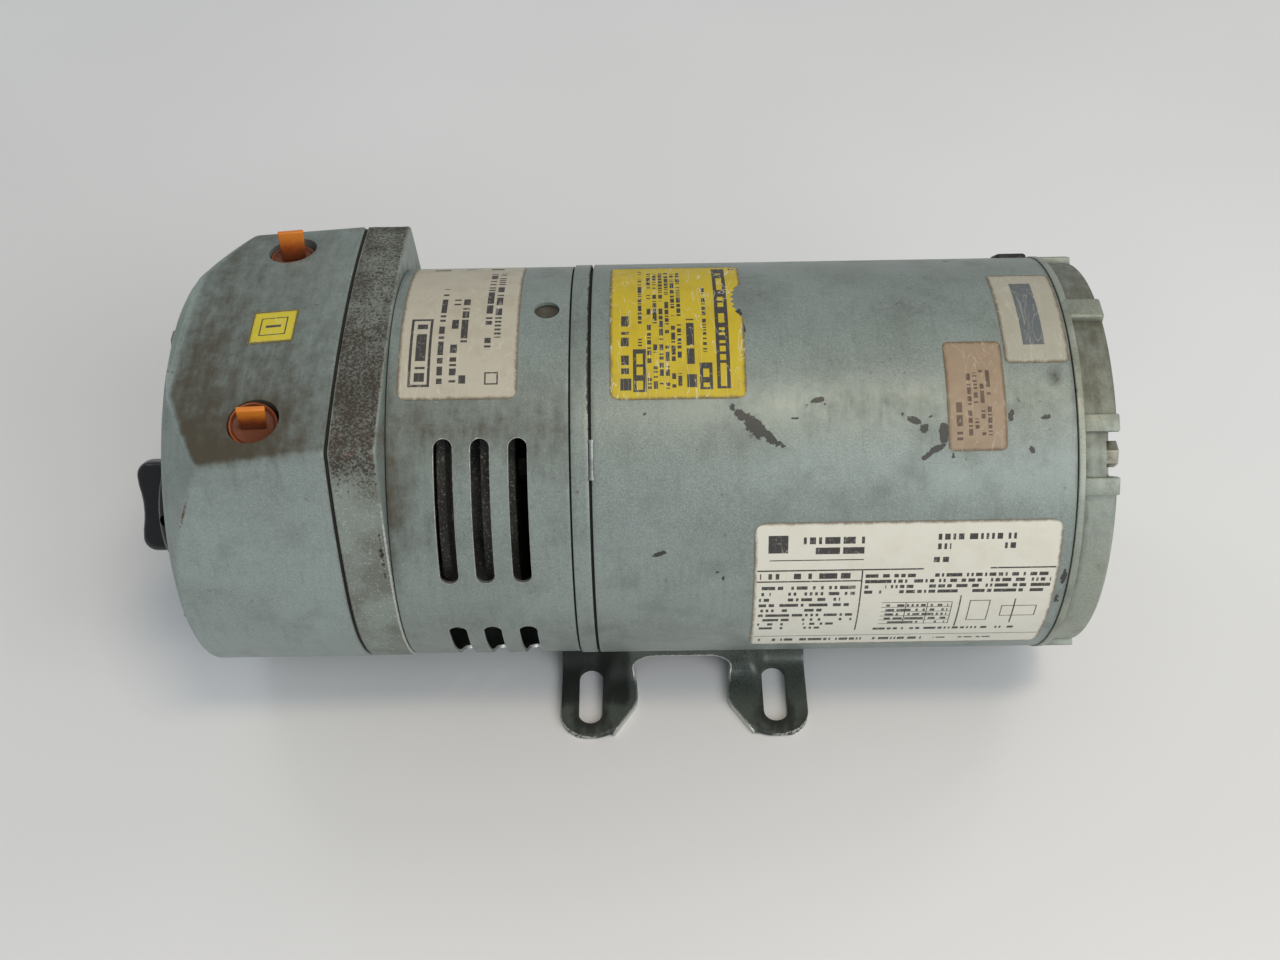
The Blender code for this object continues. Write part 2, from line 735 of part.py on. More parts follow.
def pump_bolts():
    for number, degrees in enumerate(PUMP_BOLT_ANGLES, 1):
        y, z = polar(PUMP_BOLT_RADIUS, degrees)
        under = DRIVE_PLATE_REAR + GAP
        hex_bolt(
            f"pump_bolt_{number}", under, under + 4 * MM, -104 * MM, 3.0 * MM, 10 * MM, y, z, STEEL
        )


def pump_rotor():
    x0, x1 = PUMP_FRONT + GAP, PUMP_REAR - GAP
    rotor = turned(
        "pump_rotor", tube_profile(x0, x1, ROTOR_RADIUS, SHAFT_RADIUS + GAP), IRON, 40
    )
    slot_floor = VANE_ROOT - 1.9 * MM
    slot_depth = ROTOR_RADIUS + 2 * MM - slot_floor
    slot = box_mesh(x1 - x0 + 2 * MM, VANE_THICKNESS + 2 * GAP, slot_depth)
    for degrees in vane_angles():
        location, rotation = radial_frame((x0 + x1) / 2, slot_floor + slot_depth / 2, degrees)
        cut(rotor, add_cutter(slot, location, rotation))
    cut(rotor, add_cutter(box_mesh(25 * MM, 4.6 * MM, 6.6 * MM), (-80 * MM, 0, 7 * MM)))


def vane_angles():
    return [45 + 360 / VANE_COUNT * i for i in range(VANE_COUNT)]


def vanes():
    length = PUMP_REAR - PUMP_FRONT - 2.4 * GAP
    mesh = box_mesh(length, VANE_THICKNESS, VANE_DEPTH)
    for vert in mesh.vertices:
        vert.co.z += VANE_ROOT + VANE_DEPTH / 2
    for number, degrees in enumerate(vane_angles(), 1):
        _, rotation = radial_frame(0, 0, degrees)
        vane = add_part(
            mesh, f"vane_{number}", CARBON, ((PUMP_FRONT + PUMP_REAR) / 2, 0, 0), rotation
        )
        bevel(vane, 0.6 * MM, 1)


def rotor_key():
    add_part(box_mesh(22 * MM, 4 * MM, 4 * MM), "rotor_key", STEEL, (-80 * MM, 0, 7.6 * MM))


def drive_shaft():
    """One shaft from the outer bearing to the motor's rear bearing."""
    shaft = turned(
        "drive_shaft",
        [
            (133 * MM, 0),
            (133 * MM, 6.5 * MM),
            (132 * MM, SHAFT_RADIUS),
            (-110.5 * MM, SHAFT_RADIUS),
            (-111.5 * MM, 6.5 * MM),
            (-111.5 * MM, 0),
        ],
        STEEL,
        24,
    )
    cut(shaft, add_cutter(box_mesh(22.6 * MM, 4.6 * MM, 4 * MM), (-80 * MM, 0, 7.3 * MM)))


def bearing(name, x0, x1):
    """Shielded ball bearing."""
    turned(name, tube_profile(x0, x1, BEARING_RADIUS, SHAFT_RADIUS + GAP), STEEL, 24)


# ---------------------------------------------------------------- shroud and fan


def wrapped_slot(x, width, start, end):
    """Cutter for a round-ended slot that runs round a cylinder between two angles."""
    mean = SHROUD_RADIUS
    half = width / 2
    steps = 4
    length = math.radians(end - start) * mean
    left = -length / 2 + half
    right = length / 2 - half
    outline = []
    for i in range(steps + 1):
        outline.append((left + (right - left) * i / steps, -half))
    outline += arc((right, 0), half, -90, 90, 3)[1:-1]
    for i in range(steps + 1):
        outline.append((right - (right - left) * i / steps, half))
    outline += arc((left, 0), half, 90, 270, 3)[1:-1]
    mesh = outline_mesh([outline], 20 * MM)
    middle = math.radians((start + end) / 2)
    for vert in mesh.vertices:
        angle = middle + vert.co.x / mean
        radius = mean + vert.co.z
        along = vert.co.y
        vert.co = (x + along, radius * math.cos(angle), radius * math.sin(angle))
    bm = bmesh.new()
    bm.from_mesh(mesh)
    bmesh.ops.triangulate(bm, faces=bm.faces)
    if bm.calc_volume(signed=True) < 0:
        bmesh.ops.reverse_faces(bm, faces=bm.faces)
    bm.to_mesh(mesh)
    bm.free()
    return add_cutter(mesh)


def fan_shroud():
    shroud = turned(
        "fan_shroud",
        tube_profile(SHROUD_FRONT, SHROUD_REAR, SHROUD_RADIUS, SHROUD_RADIUS - SHROUD_WALL),
        ENAMEL,
        SHELL_SEGMENTS,
    )
    for x in SHROUD_SLOTS_X:
        for start, end in SHROUD_SLOTS_ANGLES:
            cut(shroud, wrapped_slot(x, SHROUD_SLOT_WIDTH, start, end))
    # inspection hole over the bracket's register
    location, rotation = radial_frame(ACCESS_HOLE_X, SHROUD_RADIUS, ACCESS_HOLE_ANGLE)
    cut(shroud, add_cutter(rod_mesh(ACCESS_HOLE_RADIUS, 8 * MM, 12), location, rotation))
    for degrees in SHROUD_SCREW_ANGLES:
        location, rotation = radial_frame(SHROUD_SCREW_X, SHROUD_RADIUS, degrees)
        cut(shroud, add_cutter(rod_mesh(2.2 * MM, 8 * MM, 8), location, rotation))


def cooling_fan():
    fan = turned(
        "cooling_fan",
        [
            (FAN_REAR, SHAFT_RADIUS + GAP),
            (FAN_REAR, FAN_RADIUS),
            (FAN_REAR - FAN_DISC, FAN_RADIUS),
            (FAN_REAR - FAN_DISC, FAN_HUB_RADIUS),
            (FAN_FRONT, FAN_HUB_RADIUS),
            (FAN_FRONT, SHAFT_RADIUS + GAP),
        ],
        ALUMINIUM,
        32,
    )
    blade_height = FAN_RADIUS - 12 * MM
    blade = box_mesh(FAN_REAR - FAN_FRONT - MM, 1.2 * MM, blade_height)
    for i in range(FAN_BLADES):
        degrees = 360 / FAN_BLADES * (i + 0.5)
        middle = FAN_RADIUS - blade_height / 2
        location, rotation = radial_frame(FAN_FRONT + 4 * MM, middle, degrees)
        join(fan, add_cutter(blade, location, rotation))


# ---------------------------------------------------------------- motor


def front_bracket():
    """Drive-end bracket: band, register inside the shroud, web with air holes, bearing hub."""
    band = SHELL_RADIUS + 0.3 * MM
    band_inside = 67 * MM
    seat = -34.5 * MM
    web_rear = -33 * MM
    hub_rear = -24 * MM
    bracket = turned(
        "motor_front_bracket",
        [
            (SHELL_FRONT - GAP, band),
            (BRACKET_FRONT, band),
            (BRACKET_FRONT, REGISTER_RADIUS),
            (REGISTER_FRONT, REGISTER_RADIUS),
            (REGISTER_FRONT, REGISTER_RADIUS - REGISTER_WALL),
            (BRACKET_FRONT, REGISTER_RADIUS - REGISTER_WALL),
            (BRACKET_FRONT, SHAFT_RADIUS + MM),
            (seat, SHAFT_RADIUS + MM),
            (seat, BEARING_RADIUS + GAP),
            (hub_rear, BEARING_RADIUS + GAP),
            (hub_rear, BEARING_HUB_RADIUS),
            (web_rear, BEARING_HUB_RADIUS),
            (web_rear, band_inside),
            (SHELL_FRONT - GAP, band_inside),
        ],
        ENAMEL,
        SHELL_SEGMENTS,
    )
    for i in range(6):
        y, z = polar(42 * MM, 33.0 + 60 * i)
        cut(bracket, hole_cutter(9 * MM, BRACKET_FRONT - MM, -30 * MM, y, z, 12))
    for degrees in THROUGH_BOLT_ANGLES:
        y, z = polar(THROUGH_BOLT_RADIUS, degrees)
        cut(bracket, hole_cutter(2.8 * MM, -35.5 * MM, -30 * MM, y, z, 10))


def motor_shell():
    shell = turned(
        "motor_shell",
        tube_profile(SHELL_FRONT, SHELL_REAR, SHELL_RADIUS, SHELL_RADIUS - SHELL_WALL),
        ENAMEL,
        SHELL_SEGMENTS,
    )
    location, rotation = radial_frame(SHELL_REAR - 3 * MM, SHELL_RADIUS, LEAD_ANGLE)
    notch = add_cutter(box_mesh(17 * MM, 12 * MM, 8 * MM), location, rotation)
    cut(shell, notch)


def lead_grommet():
    """Grommet in the shell's rear edge where the supply leads leave the motor."""
    x0 = SHELL_REAR - 11.5 * MM + GAP
    x1 = SHELL_REAR - GAP
    location, rotation = radial_frame((x0 + x1) / 2, SHELL_RADIUS + 0.3 * MM, LEAD_ANGLE)
    grommet = add_part(
        box_mesh(x1 - x0, 11.2 * MM, 4.6 * MM), "lead_grommet", RUBBER, location, rotation
    )
    bevel(grommet, 0.8 * MM, 1)
    location, rotation = radial_frame((x0 + x1) / 2, SHELL_RADIUS, LEAD_ANGLE)
    cut(grommet, add_cutter(rod_mesh(3.0 * MM, 12 * MM, 12), location, rotation))


def stator_outline():
    """Bore of the laminations with its winding slots."""
    outline = []
    floor = STATOR_BORE + 14 * MM
    for i in range(STATOR_SLOTS):
        middle = 360 / STATOR_SLOTS * i
        slot = ((-4.6, STATOR_BORE), (-5.0, floor), (5.0, floor), (4.6, STATOR_BORE))
        for offset, radius in slot:
            outline.append(polar(radius, middle + offset))
    return outline


def stator():
    """Lamination stack, notched outside where the through-bolts pass."""
    outer = []
    notch = THROUGH_BOLT_RADIUS - 4 * MM
    notch_half = 3.5
    rim = SHELL_RADIUS - SHELL_WALL - GAP
    for degrees in THROUGH_BOLT_ANGLES:
        outer.append(polar(notch, degrees - notch_half))
        outer.append(polar(notch, degrees + notch_half))
        outer += arc((0, 0), rim, degrees + notch_half, degrees + 90 - notch_half, 9)
    prism("stator_core", [outer, stator_outline()], STATOR_FRONT, STATOR_REAR, LAMINATION)


def stator_winding():
    """Copper coils: end turns at both ends, joined through the slots."""
    reach, outer, inner = 20 * MM, 55 * MM, 41 * MM
    front = tube_profile(STATOR_FRONT - reach, STATOR_FRONT - GAP, outer, inner)
    rear = tube_profile(STATOR_REAR + GAP, STATOR_REAR + reach, outer, inner)
    winding = turned("stator_winding", front, COPPER, 28)
    join(winding, turned_cutter(rear, 28))
    length = STATOR_REAR - STATOR_FRONT + 10 * MM
    coil = box_mesh(length, 5.6 * MM, 8 * MM)
    for i in range(STATOR_SLOTS):
        middle = (STATOR_FRONT + STATOR_REAR) / 2
        location, rotation = radial_frame(middle, 46.5 * MM, 360 / STATOR_SLOTS * i)
        join(winding, add_cutter(coil, location, rotation))


def motor_rotor():
    """Squirrel-cage rotor with its end rings."""
    ring = 8 * MM
    ring_radius = MOTOR_ROTOR_RADIUS - 2.8 * MM
    turned(
        "motor_rotor",
        [
            (STATOR_REAR + ring, SHAFT_RADIUS + GAP),
            (STATOR_REAR + ring, ring_radius),
            (STATOR_REAR, ring_radius),
            (STATOR_REAR, MOTOR_ROTOR_RADIUS),
            (STATOR_FRONT, MOTOR_ROTOR_RADIUS),
            (STATOR_FRONT, ring_radius),
            (STATOR_FRONT - ring, ring_radius),
            (STATOR_FRONT - ring, SHAFT_RADIUS + GAP),
        ],
        LAMINATION,
        40,
    )


def governor():
    """Centrifugal switch: hub fixed on the shaft, and the collar that its weights pull along."""
    turned("governor_hub", tube_profile(93 * MM, 97 * MM, 22 * MM, SHAFT_RADIUS + GAP), STEEL, 24)
    turned(
        "governor_collar",
        [
            (111 * MM, SHAFT_RADIUS + 2 * GAP),
            (111 * MM, 19 * MM),
            (108.5 * MM, 19 * MM),
            (108.5 * MM, 12 * MM),
            (101 * MM, 12 * MM),
            (101 * MM, SHAFT_RADIUS + 2 * GAP),
        ],
        BLACK_PLASTIC,
        24,
    )


def start_switch():
    board = [(-30 * MM, 24 * MM), (30 * MM, 24 * MM), (24 * MM, 48 * MM), (-24 * MM, 48 * MM)]
    prism("start_switch", [board], 112.5 * MM, 115.5 * MM, FIBRE)


def rear_bell():
    """Rear end bell: rim, cylindrical wall, rounded end face with bolt pockets and stamped lugs."""
    rim = SHELL_RADIUS + 0.4 * MM
    inside = BELL_END - 5 * MM
    seat = 133.6 * MM
    hub_front = 120 * MM
    bell = turned(
        "rear_end_bell",
        [
            (BELL_END, 0),
            (BELL_END, BELL_RADIUS - 3 * MM),
            (BELL_END - 0.9 * MM, BELL_RADIUS - 0.9 * MM),
            (BELL_END - 3 * MM, BELL_RADIUS),
            (BELL_RIM_REAR, BELL_RADIUS),
            (BELL_RIM_REAR, rim),
            (SHELL_REAR + GAP, rim),
            (SHELL_REAR + GAP, BELL_RADIUS - 3 * MM),
            (inside - MM, BELL_RADIUS - 5 * MM),
            (inside, BEARING_HUB_RADIUS),
            (hub_front, BEARING_HUB_RADIUS),
            (hub_front, BEARING_RADIUS + GAP),
            (seat, BEARING_RADIUS + GAP),
            (seat, 0),
        ],
        OLIVE,
        SHELL_SEGMENTS,
    )
    lug = box_mesh(11.4 * MM, 5.8 * MM, 6 * MM)
    for degrees in THROUGH_BOLT_ANGLES:
        for side in (-8.4, 8.4):
            location, rotation = radial_frame(135.2 * MM, 68.1 * MM, degrees + side)
            piece = add_cutter(lug, location, rotation)
            join(bell, piece)
    # stamping pad on top
    location, rotation = radial_frame(134.8 * MM, 69.0 * MM, 91.7)
    pad = add_cutter(box_mesh(12 * MM, 9 * MM, 5.2 * MM), location, rotation)
    bevel(pad, 1.5 * MM, 1)
    join(bell, pad)
    for degrees in THROUGH_BOLT_ANGLES:
        # pocket open at the end and at the side, with the bolt's hole in its floor
        location, rotation = radial_frame(BOLT_SEAT + 5 * MM, THROUGH_BOLT_RADIUS + 5 * MM, degrees)
        cut(bell, add_cutter(box_mesh(10 * MM, 14.6 * MM, 22 * MM), location, rotation))
        y, z = polar(THROUGH_BOLT_RADIUS, degrees)
        cut(bell, hole_cutter(2.9 * MM, 126 * MM, 138 * MM, y, z, 10))
    for i in range(8):
        y, z = polar(40 * MM, 22.5 + 45 * i)
        cut(bell, hole_cutter(5 * MM, 134 * MM, BELL_END + MM, y, z, 10))


def through_bolts():
    for number, degrees in enumerate(THROUGH_BOLT_ANGLES, 1):
        y, z = polar(THROUGH_BOLT_RADIUS, degrees)
        hex_bolt(
            f"through_bolt_{number}",
            BOLT_SEAT + GAP,
            BOLT_HEAD_END,
            -34 * MM,
            2.4 * MM,
            7.94 * MM,
            y,
            z,
        )


def wave_washer():
    turned("bearing_wave_washer", tube_profile(132.0 * MM, 133.2 * MM, 15.6 * MM, 11 * MM), STEEL, 24)


# ---------------------------------------------------------------- base


def base_section():
    """The base seen along the shaft, as (y, z): saddle, leg, foot, then back along its underside."""
    floor = -SHAFT_HEIGHT
    top = floor + BASE_SHEET
    inner = SHELL_RADIUS + GAP + 0.2 * MM
    saddle = arc((0, 0), inner, 300, 240, 8)
    under = arc((0, 0), inner + BASE_SHEET, 243, 297, 8)
    near_leg = [(-BASE_BEND, top), (-BASE_EDGE, top), (-BASE_EDGE, floor)]
    near_leg.append((-BASE_BEND + 2 * MM, floor))
    far_leg = [(-y, z) for y, z in reversed(near_leg)]
    return saddle + near_leg + under + far_leg


def mounting_base():
    """Stamped base: a saddle under the shell, legs and four slotted feet."""
    floor = -SHAFT_HEIGHT
    base = prism("mounting_base", [base_section()], BASE_FRONT, BASE_REAR, BASE_PAINT)
    # the opening between two feet, waisted at the feet and wider in the leg, as half of (x, y)
    half_arch = [(28, 76), (17.6, 57), (17.6, 54), (20, 46), (20, 36), (14, 29)]
    arch = [(-x, y) for x, y in half_arch] + half_arch[::-1]
    corner_radius = 10 * MM
    slot_reach = FOOT_SLOT_LENGTH / 2 - FOOT_SLOT_HALF
    for side in (-1, 1):
        window = outline_mesh([[(x * MM, side * y * MM) for x, y in arch]], 14 * MM)
        cut(base, add_cutter(window, (0, 0, floor + 6 * MM)))
        for x, turn in ((BASE_FRONT, 1), (BASE_REAR, -1)):
            centre = (x + turn * corner_radius, side * (BASE_EDGE - corner_radius))
            corner = [(x - turn * MM, centre[1]), (x - turn * MM, side * (BASE_EDGE + MM))]
            corner += [(centre[0], side * (BASE_EDGE + MM))]
            start, end = (90, 180) if turn > 0 else (90, 0)
            rounding = arc((centre[0], 0), corner_radius, start, end, 5)
            corner += [(u, centre[1] + side * v) for u, v in rounding]
            cut(base, add_cutter(outline_mesh([corner], 8 * MM), (0, 0, floor + MM)))
        for x in (-SLOT_X, SLOT_X):
            slot = arc((x, side * SLOT_Y + slot_reach), FOOT_SLOT_HALF, 0, 180, 5)
            slot += arc((x, side * SLOT_Y - slot_reach), FOOT_SLOT_HALF, 180, 360, 5)
            cut(base, add_cutter(outline_mesh([slot], 8 * MM), (0, 0, floor + MM)))


def shroud_screws():
    """Pan-head screws that hold the shroud to the pump body's last fin."""
    for number, degrees in enumerate(SHROUD_SCREW_ANGLES, 1):
        location, rotation = radial_frame(SHROUD_SCREW_X, SHROUD_RADIUS - 2.6 * MM, degrees)
        screw_piece = add_part(
            rod_mesh(1.9 * MM, 7 * MM, 12), f"shroud_screw_{number}", ZINC, location, rotation
        )
        location, rotation = radial_frame(SHROUD_SCREW_X, SHROUD_RADIUS + 1.3 * MM, degrees)
        head = rod_mesh(3.6 * MM, 2.0 * MM, 16, 2.8 * MM)
        join(screw_piece, add_cutter(head, location, rotation))


muffler_cover()
cover_gasket()
end_housing()
cover_screws()
port_plugs()
felt_rolls()
valve_body()
valve_nut()
valve_poppet()
valve_stem()
knob()
pump_body()
drive_plate()
pump_bolts()
pump_rotor()
vanes()
rotor_key()
drive_shaft()
bearing("outer_bearing", -112.1 * MM, -103.0 * MM)
fan_shroud()
shroud_screws()
cooling_fan()
front_bracket()
bearing("front_bearing", -33.9 * MM, -24.4 * MM)
motor_shell()
lead_grommet()
stator()
stator_winding()
motor_rotor()
governor()
start_switch()
wave_washer()
bearing("rear_bearing", 121.5 * MM, 131.5 * MM)
rear_bell()
through_bolts()
mounting_base()
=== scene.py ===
"""Looks of the rotary vane vacuum pump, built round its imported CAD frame.

Points are in millimetres about the shaft: x from the middle of the four foot slots towards the
motor's rear, y to the far side, z up from the shaft. Angles run up from +y: 90 is the top and
180 the near side. world() turns such points into the frame's metres.
"""

import functools
import json
import math

import bmesh
import bpy
import numpy as np
from mathutils import Matrix, Vector, noise

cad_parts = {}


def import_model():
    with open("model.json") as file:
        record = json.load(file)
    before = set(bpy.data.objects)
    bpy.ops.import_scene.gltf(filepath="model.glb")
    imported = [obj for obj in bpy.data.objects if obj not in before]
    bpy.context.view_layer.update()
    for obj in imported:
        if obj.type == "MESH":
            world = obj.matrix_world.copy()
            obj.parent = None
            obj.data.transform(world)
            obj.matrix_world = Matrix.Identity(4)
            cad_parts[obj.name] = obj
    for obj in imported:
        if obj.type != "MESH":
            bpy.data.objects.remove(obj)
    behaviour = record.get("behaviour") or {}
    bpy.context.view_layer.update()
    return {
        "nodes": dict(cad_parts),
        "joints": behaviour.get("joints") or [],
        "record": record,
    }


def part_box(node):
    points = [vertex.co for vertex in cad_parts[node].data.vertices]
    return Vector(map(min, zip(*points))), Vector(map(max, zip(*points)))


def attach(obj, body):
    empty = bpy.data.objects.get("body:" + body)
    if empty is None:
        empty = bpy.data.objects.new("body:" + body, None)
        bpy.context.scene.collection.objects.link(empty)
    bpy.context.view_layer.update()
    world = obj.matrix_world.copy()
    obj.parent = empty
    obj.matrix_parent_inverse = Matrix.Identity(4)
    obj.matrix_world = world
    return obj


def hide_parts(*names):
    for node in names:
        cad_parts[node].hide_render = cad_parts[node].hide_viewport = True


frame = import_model()

MM = 0.001

# ---------------------------------------------------------------- sizes, from the frame

SHAFT_Z = frame["joints"][0]["pos_m"][2]
COVER_FRONT = -170.0
ORIGIN = Vector((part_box("muffler_cover")[0].x - COVER_FRONT * MM, 0, SHAFT_Z))


def span(node):
    """A node's first and last x in millimetres."""
    low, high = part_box(node)
    return (low.x - ORIGIN.x) / MM, (high.x - ORIGIN.x) / MM


COVER_REAR = span("muffler_cover")[1]
HOUSING_FRONT, HOUSING_REAR = span("end_housing")
SHROUD_FRONT, SHROUD_REAR = span("fan_shroud")
BAND_FRONT, BAND_REAR = SHROUD_REAR + 0.3, span("motor_shell")[0] - 0.3
REGISTER_FRONT = span("motor_front_bracket")[0]
SHELL_FRONT, SHELL_REAR = span("motor_shell")
BELL_REAR = span("rear_end_bell")[1]
BELL_FRONT = SHELL_REAR + 0.3
BELL_RIM = BELL_FRONT + 2.3
BASE_FRONT, BASE_REAR = span("mounting_base")
KNOB_FRONT, KNOB_BACK = span("ballast_knob")
FLOOR = -SHAFT_Z / MM

SHELL_RADIUS = 71.0
SHROUD_RADIUS = 70.5
BAND_RADIUS = 71.0
BELL_WALL = 69.0
THROUGH_BOLTS = (45, 135, 225, 315)
BOLT_CIRCLE = 63.0

SHROUD_SLOTS = (-78.2, -66.2, -53.9)
SHROUD_SLOT_ANGLES = ((128, 169.3), (188, 229), (10.7, 52), (-49, -8))
SHROUD_SLOT_HALF = 3.1
SHROUD_HOLE = (-45.0, 88.3, 4.3)
SHROUD_SCREWS = ((-65.0, 255), (-65.0, 285))

SECTION_RADIUS = 71.0
SIDE_RADIUS = 225.7
SIDE_CENTRE = (154.1, -13.4)
TOP_RADIUS = 260.0
TOP_APEX = 71.0
TOP_FALL = 5.2
CORNER_RADIUS = 2.5
FOLD_Y = 57.6
CONE_START = (COVER_FRONT + 2.2, 71.9)
CONE_SLOPE = 0.942
PORTS = ((-137.8, 43.5), (-137.8, -43.5))
PORT_RADIUS = 8.6

BASE_SHEET = 2.8
BASE_EDGE = 72.3
SLOT_X = 34.925
SLOT_Y = 53.975

KNOB_CENTRE = (-35.4, 17.4)
KNOB_ANGLE = 58.5


# ---------------------------------------------------------------- geometry


def world(points):
    return np.asarray(points, float) * MM + np.array(ORIGIN)


def local(obj):
    """An object's vertices in millimetres about the shaft."""
    co = np.empty(len(obj.data.vertices) * 3)
    obj.data.vertices.foreach_get("co", co)
    return (co.reshape(-1, 3) - np.array(ORIGIN)) / MM


def polar(x, radius, degrees):
    angle = np.radians(degrees)
    return np.stack(np.broadcast_arrays(x, radius * np.cos(angle), radius * np.sin(angle)), -1)


def arc(centre, radius, start, end, steps):
    angles = np.radians(np.linspace(start, end, steps + 1))
    return [(centre[0] + radius * math.cos(a), centre[1] + radius * math.sin(a)) for a in angles]


def rounded(points, radius, steps=4, closed=True):
    """The outline with its corners turned into curves that start up to radius from each corner."""
    result = []
    count = len(points)
    radii = radius if isinstance(radius, (list, tuple)) else [radius] * count
    for i, corner in enumerate(points):
        if not closed and i in (0, count - 1):
            result.append(tuple(corner))
            continue
        corner = Vector(corner)
        before = Vector(points[i - 1]) - corner
        after = Vector(points[(i + 1) % count]) - corner
        reach = min(radii[i], before.length * 0.48, after.length * 0.48)
        start = corner + before.normalized() * reach
        end = corner + after.normalized() * reach
        for k in range(steps + 1):
            t = k / steps
            result.append(tuple(start * (1 - t) ** 2 + corner * 2 * t * (1 - t) + end * t * t))
    return result


def refined(points, pitch):
    """The closed outline with points added so that no step is longer than pitch."""
    result = []
    for start, end in zip(points, points[1:] + points[:1]):
        start, end = Vector(start), Vector(end)
        count = max(1, math.ceil((end - start).length / pitch))
        result += [tuple(start.lerp(end, k / count)) for k in range(count)]
    return result


def mesh_of(bm):
    mesh = bpy.data.meshes.new("mesh")
    bm.to_mesh(mesh)
    bm.free()
    return mesh


def mesh_from(points, faces):
    """A mesh in the frame's metres from points in millimetres about the shaft, doubles merged."""
    mesh = bpy.data.meshes.new("mesh")
    mesh.from_pydata([tuple(p) for p in world(points)], [], faces)
    bm = bmesh.new()
    bm.from_mesh(mesh)
    bmesh.ops.remove_doubles(bm, verts=bm.verts, dist=0.002 * MM)
    bmesh.ops.dissolve_degenerate(bm, edges=bm.edges, dist=0.001 * MM)
    bmesh.ops.recalc_face_normals(bm, faces=bm.faces)
    bm.to_mesh(mesh)
    bm.free()
    return mesh


def grid(rings, wrap_rings=False):
    """A tube through closed rings of points, its ends capped or joined to each other."""
    rings = np.asarray(rings, float)
    rows, columns, _ = rings.shape
    index = np.arange(rows * columns).reshape(rows, columns)
    first = index if wrap_rings else index[:-1]
    second = np.roll(index, -1, 0) if wrap_rings else index[1:]
    quads = np.stack([first, np.roll(first, -1, 1), np.roll(second, -1, 1), second], -1)
    faces = quads.reshape(-1, 4).tolist()
    if not wrap_rings:
        faces += [index[0][::-1].tolist(), index[-1].tolist()]
    return mesh_from(rings.reshape(-1, 3), faces)


def lathe(profile, segments):
    """A closed profile of (x, radius) points turned about the shaft."""
    angles = np.radians(np.arange(segments) * 360 / segments)
    rings = [[(x, r * math.cos(a), r * math.sin(a)) for x, r in profile] for a in angles]
    return grid(rings, wrap_rings=True)


def tube(front, rear, radius, wall, edge, pitch, segments):
    """A rolled tube round the shaft, with softened edges and rings no further apart than pitch."""
    line = [(rear, radius - wall), (rear, radius), (front, radius), (front, radius - wall)]
    return lathe(refined(rounded(line, edge, 2), pitch), segments)


def own_units(mesh):
    """A mesh made by grid(), taken back to plain millimetres for placed()."""
    mesh.transform(Matrix.Scale(1 / MM, 4) @ Matrix.Translation(-ORIGIN))
    return mesh


def turned(profile, step):
    """A closed profile of (radius, height) points turned about local Z, in millimetres."""
    angles = np.radians(np.arange(0, 360, step))
    rings = [[(r * math.cos(a), r * math.sin(a), h) for r, h in profile] for a in angles]
    return own_units(grid(rings, wrap_rings=True))


def block(size, radius, segments):
    """A box about the origin in millimetres, its edges rounded."""
    bm = bmesh.new()
    bmesh.ops.create_cube(bm, size=1.0, matrix=Matrix.Diagonal((*size, 1)))
    bmesh.ops.bevel(bm, geom=bm.edges[:], offset=radius, segments=segments, profile=0.5, affect="EDGES")
    return mesh_of(bm)


def rod(radius, length, segments):
    """A cylinder along local Z, in millimetres."""
    bm = bmesh.new()
    bmesh.ops.create_cone(bm, cap_ends=True, segments=segments, radius1=radius, radius2=radius, depth=length)
    return mesh_of(bm)


def placed(mesh, position, rotation=None):
    """A millimetre mesh moved to its place and turned into the frame's metres."""
    turn = rotation.to_matrix().to_4x4() if rotation else Matrix.Identity(4)
    mesh.transform(Matrix.Translation(position) @ turn)
    mesh.transform(Matrix.Translation(ORIGIN) @ Matrix.Scale(MM, 4))
    return mesh


def outward(x, radius, degrees):
    """Position on a cylinder, and the turn that takes local Z outwards and local X along it."""
    angle = math.radians(degrees)
    normal = Vector((0, math.cos(angle), math.sin(angle)))
    along = Vector((1, 0, 0))
    turn = Matrix((along, normal.cross(along), normal)).transposed()
    return Vector((x, *(normal.yz * radius))), turn.to_euler()


def bore(x, distance, degrees, radius, length, segments):
    """Cutter for a round hole that runs along the shaft."""
    turn = Matrix.Rotation(math.pi / 2, 3, "Y").to_euler()
    return placed(rod(radius, length, segments), Vector(polar(x, distance, degrees)), turn)


def linked(data, name="shape"):
    obj = bpy.data.objects.new(name, data)
    bpy.context.scene.collection.objects.link(obj)
    return obj


def applied(obj):
    """Turn an object's modifiers into its mesh."""
    evaluated = obj.evaluated_get(bpy.context.evaluated_depsgraph_get())
    mesh = bpy.data.meshes.new_from_object(evaluated)
    obj.modifiers.clear()
    old = obj.data
    obj.data = mesh
    bpy.data.meshes.remove(old)
    return obj


def combine(obj, meshes, operation="DIFFERENCE"):
    """Cut meshes out of an object, or join them to it."""
    for mesh in meshes:
        other = linked(mesh)
        modifier = obj.modifiers.new("boolean", "BOOLEAN")
        modifier.operation = operation
        modifier.solver = "EXACT"
        modifier.object = other
        applied(obj)
        bpy.data.objects.remove(other)


def soften(obj, width, segments=2, angle=35):
    modifier = obj.modifiers.new("bevel", "BEVEL")
    modifier.width = width * MM
    modifier.segments = segments
    modifier.limit_method = "ANGLE"
    modifier.angle_limit = math.radians(angle)
    modifier.use_clamp_overlap = True
    return obj


def attribute(obj, name, values):
    """Store one number between 0 and 1 for each vertex, for the materials to read."""
    layer = obj.data.attributes.new(name, "FLOAT", "POINT")
    layer.data.foreach_set("value", np.clip(values, 0, 1).astype(np.float32))


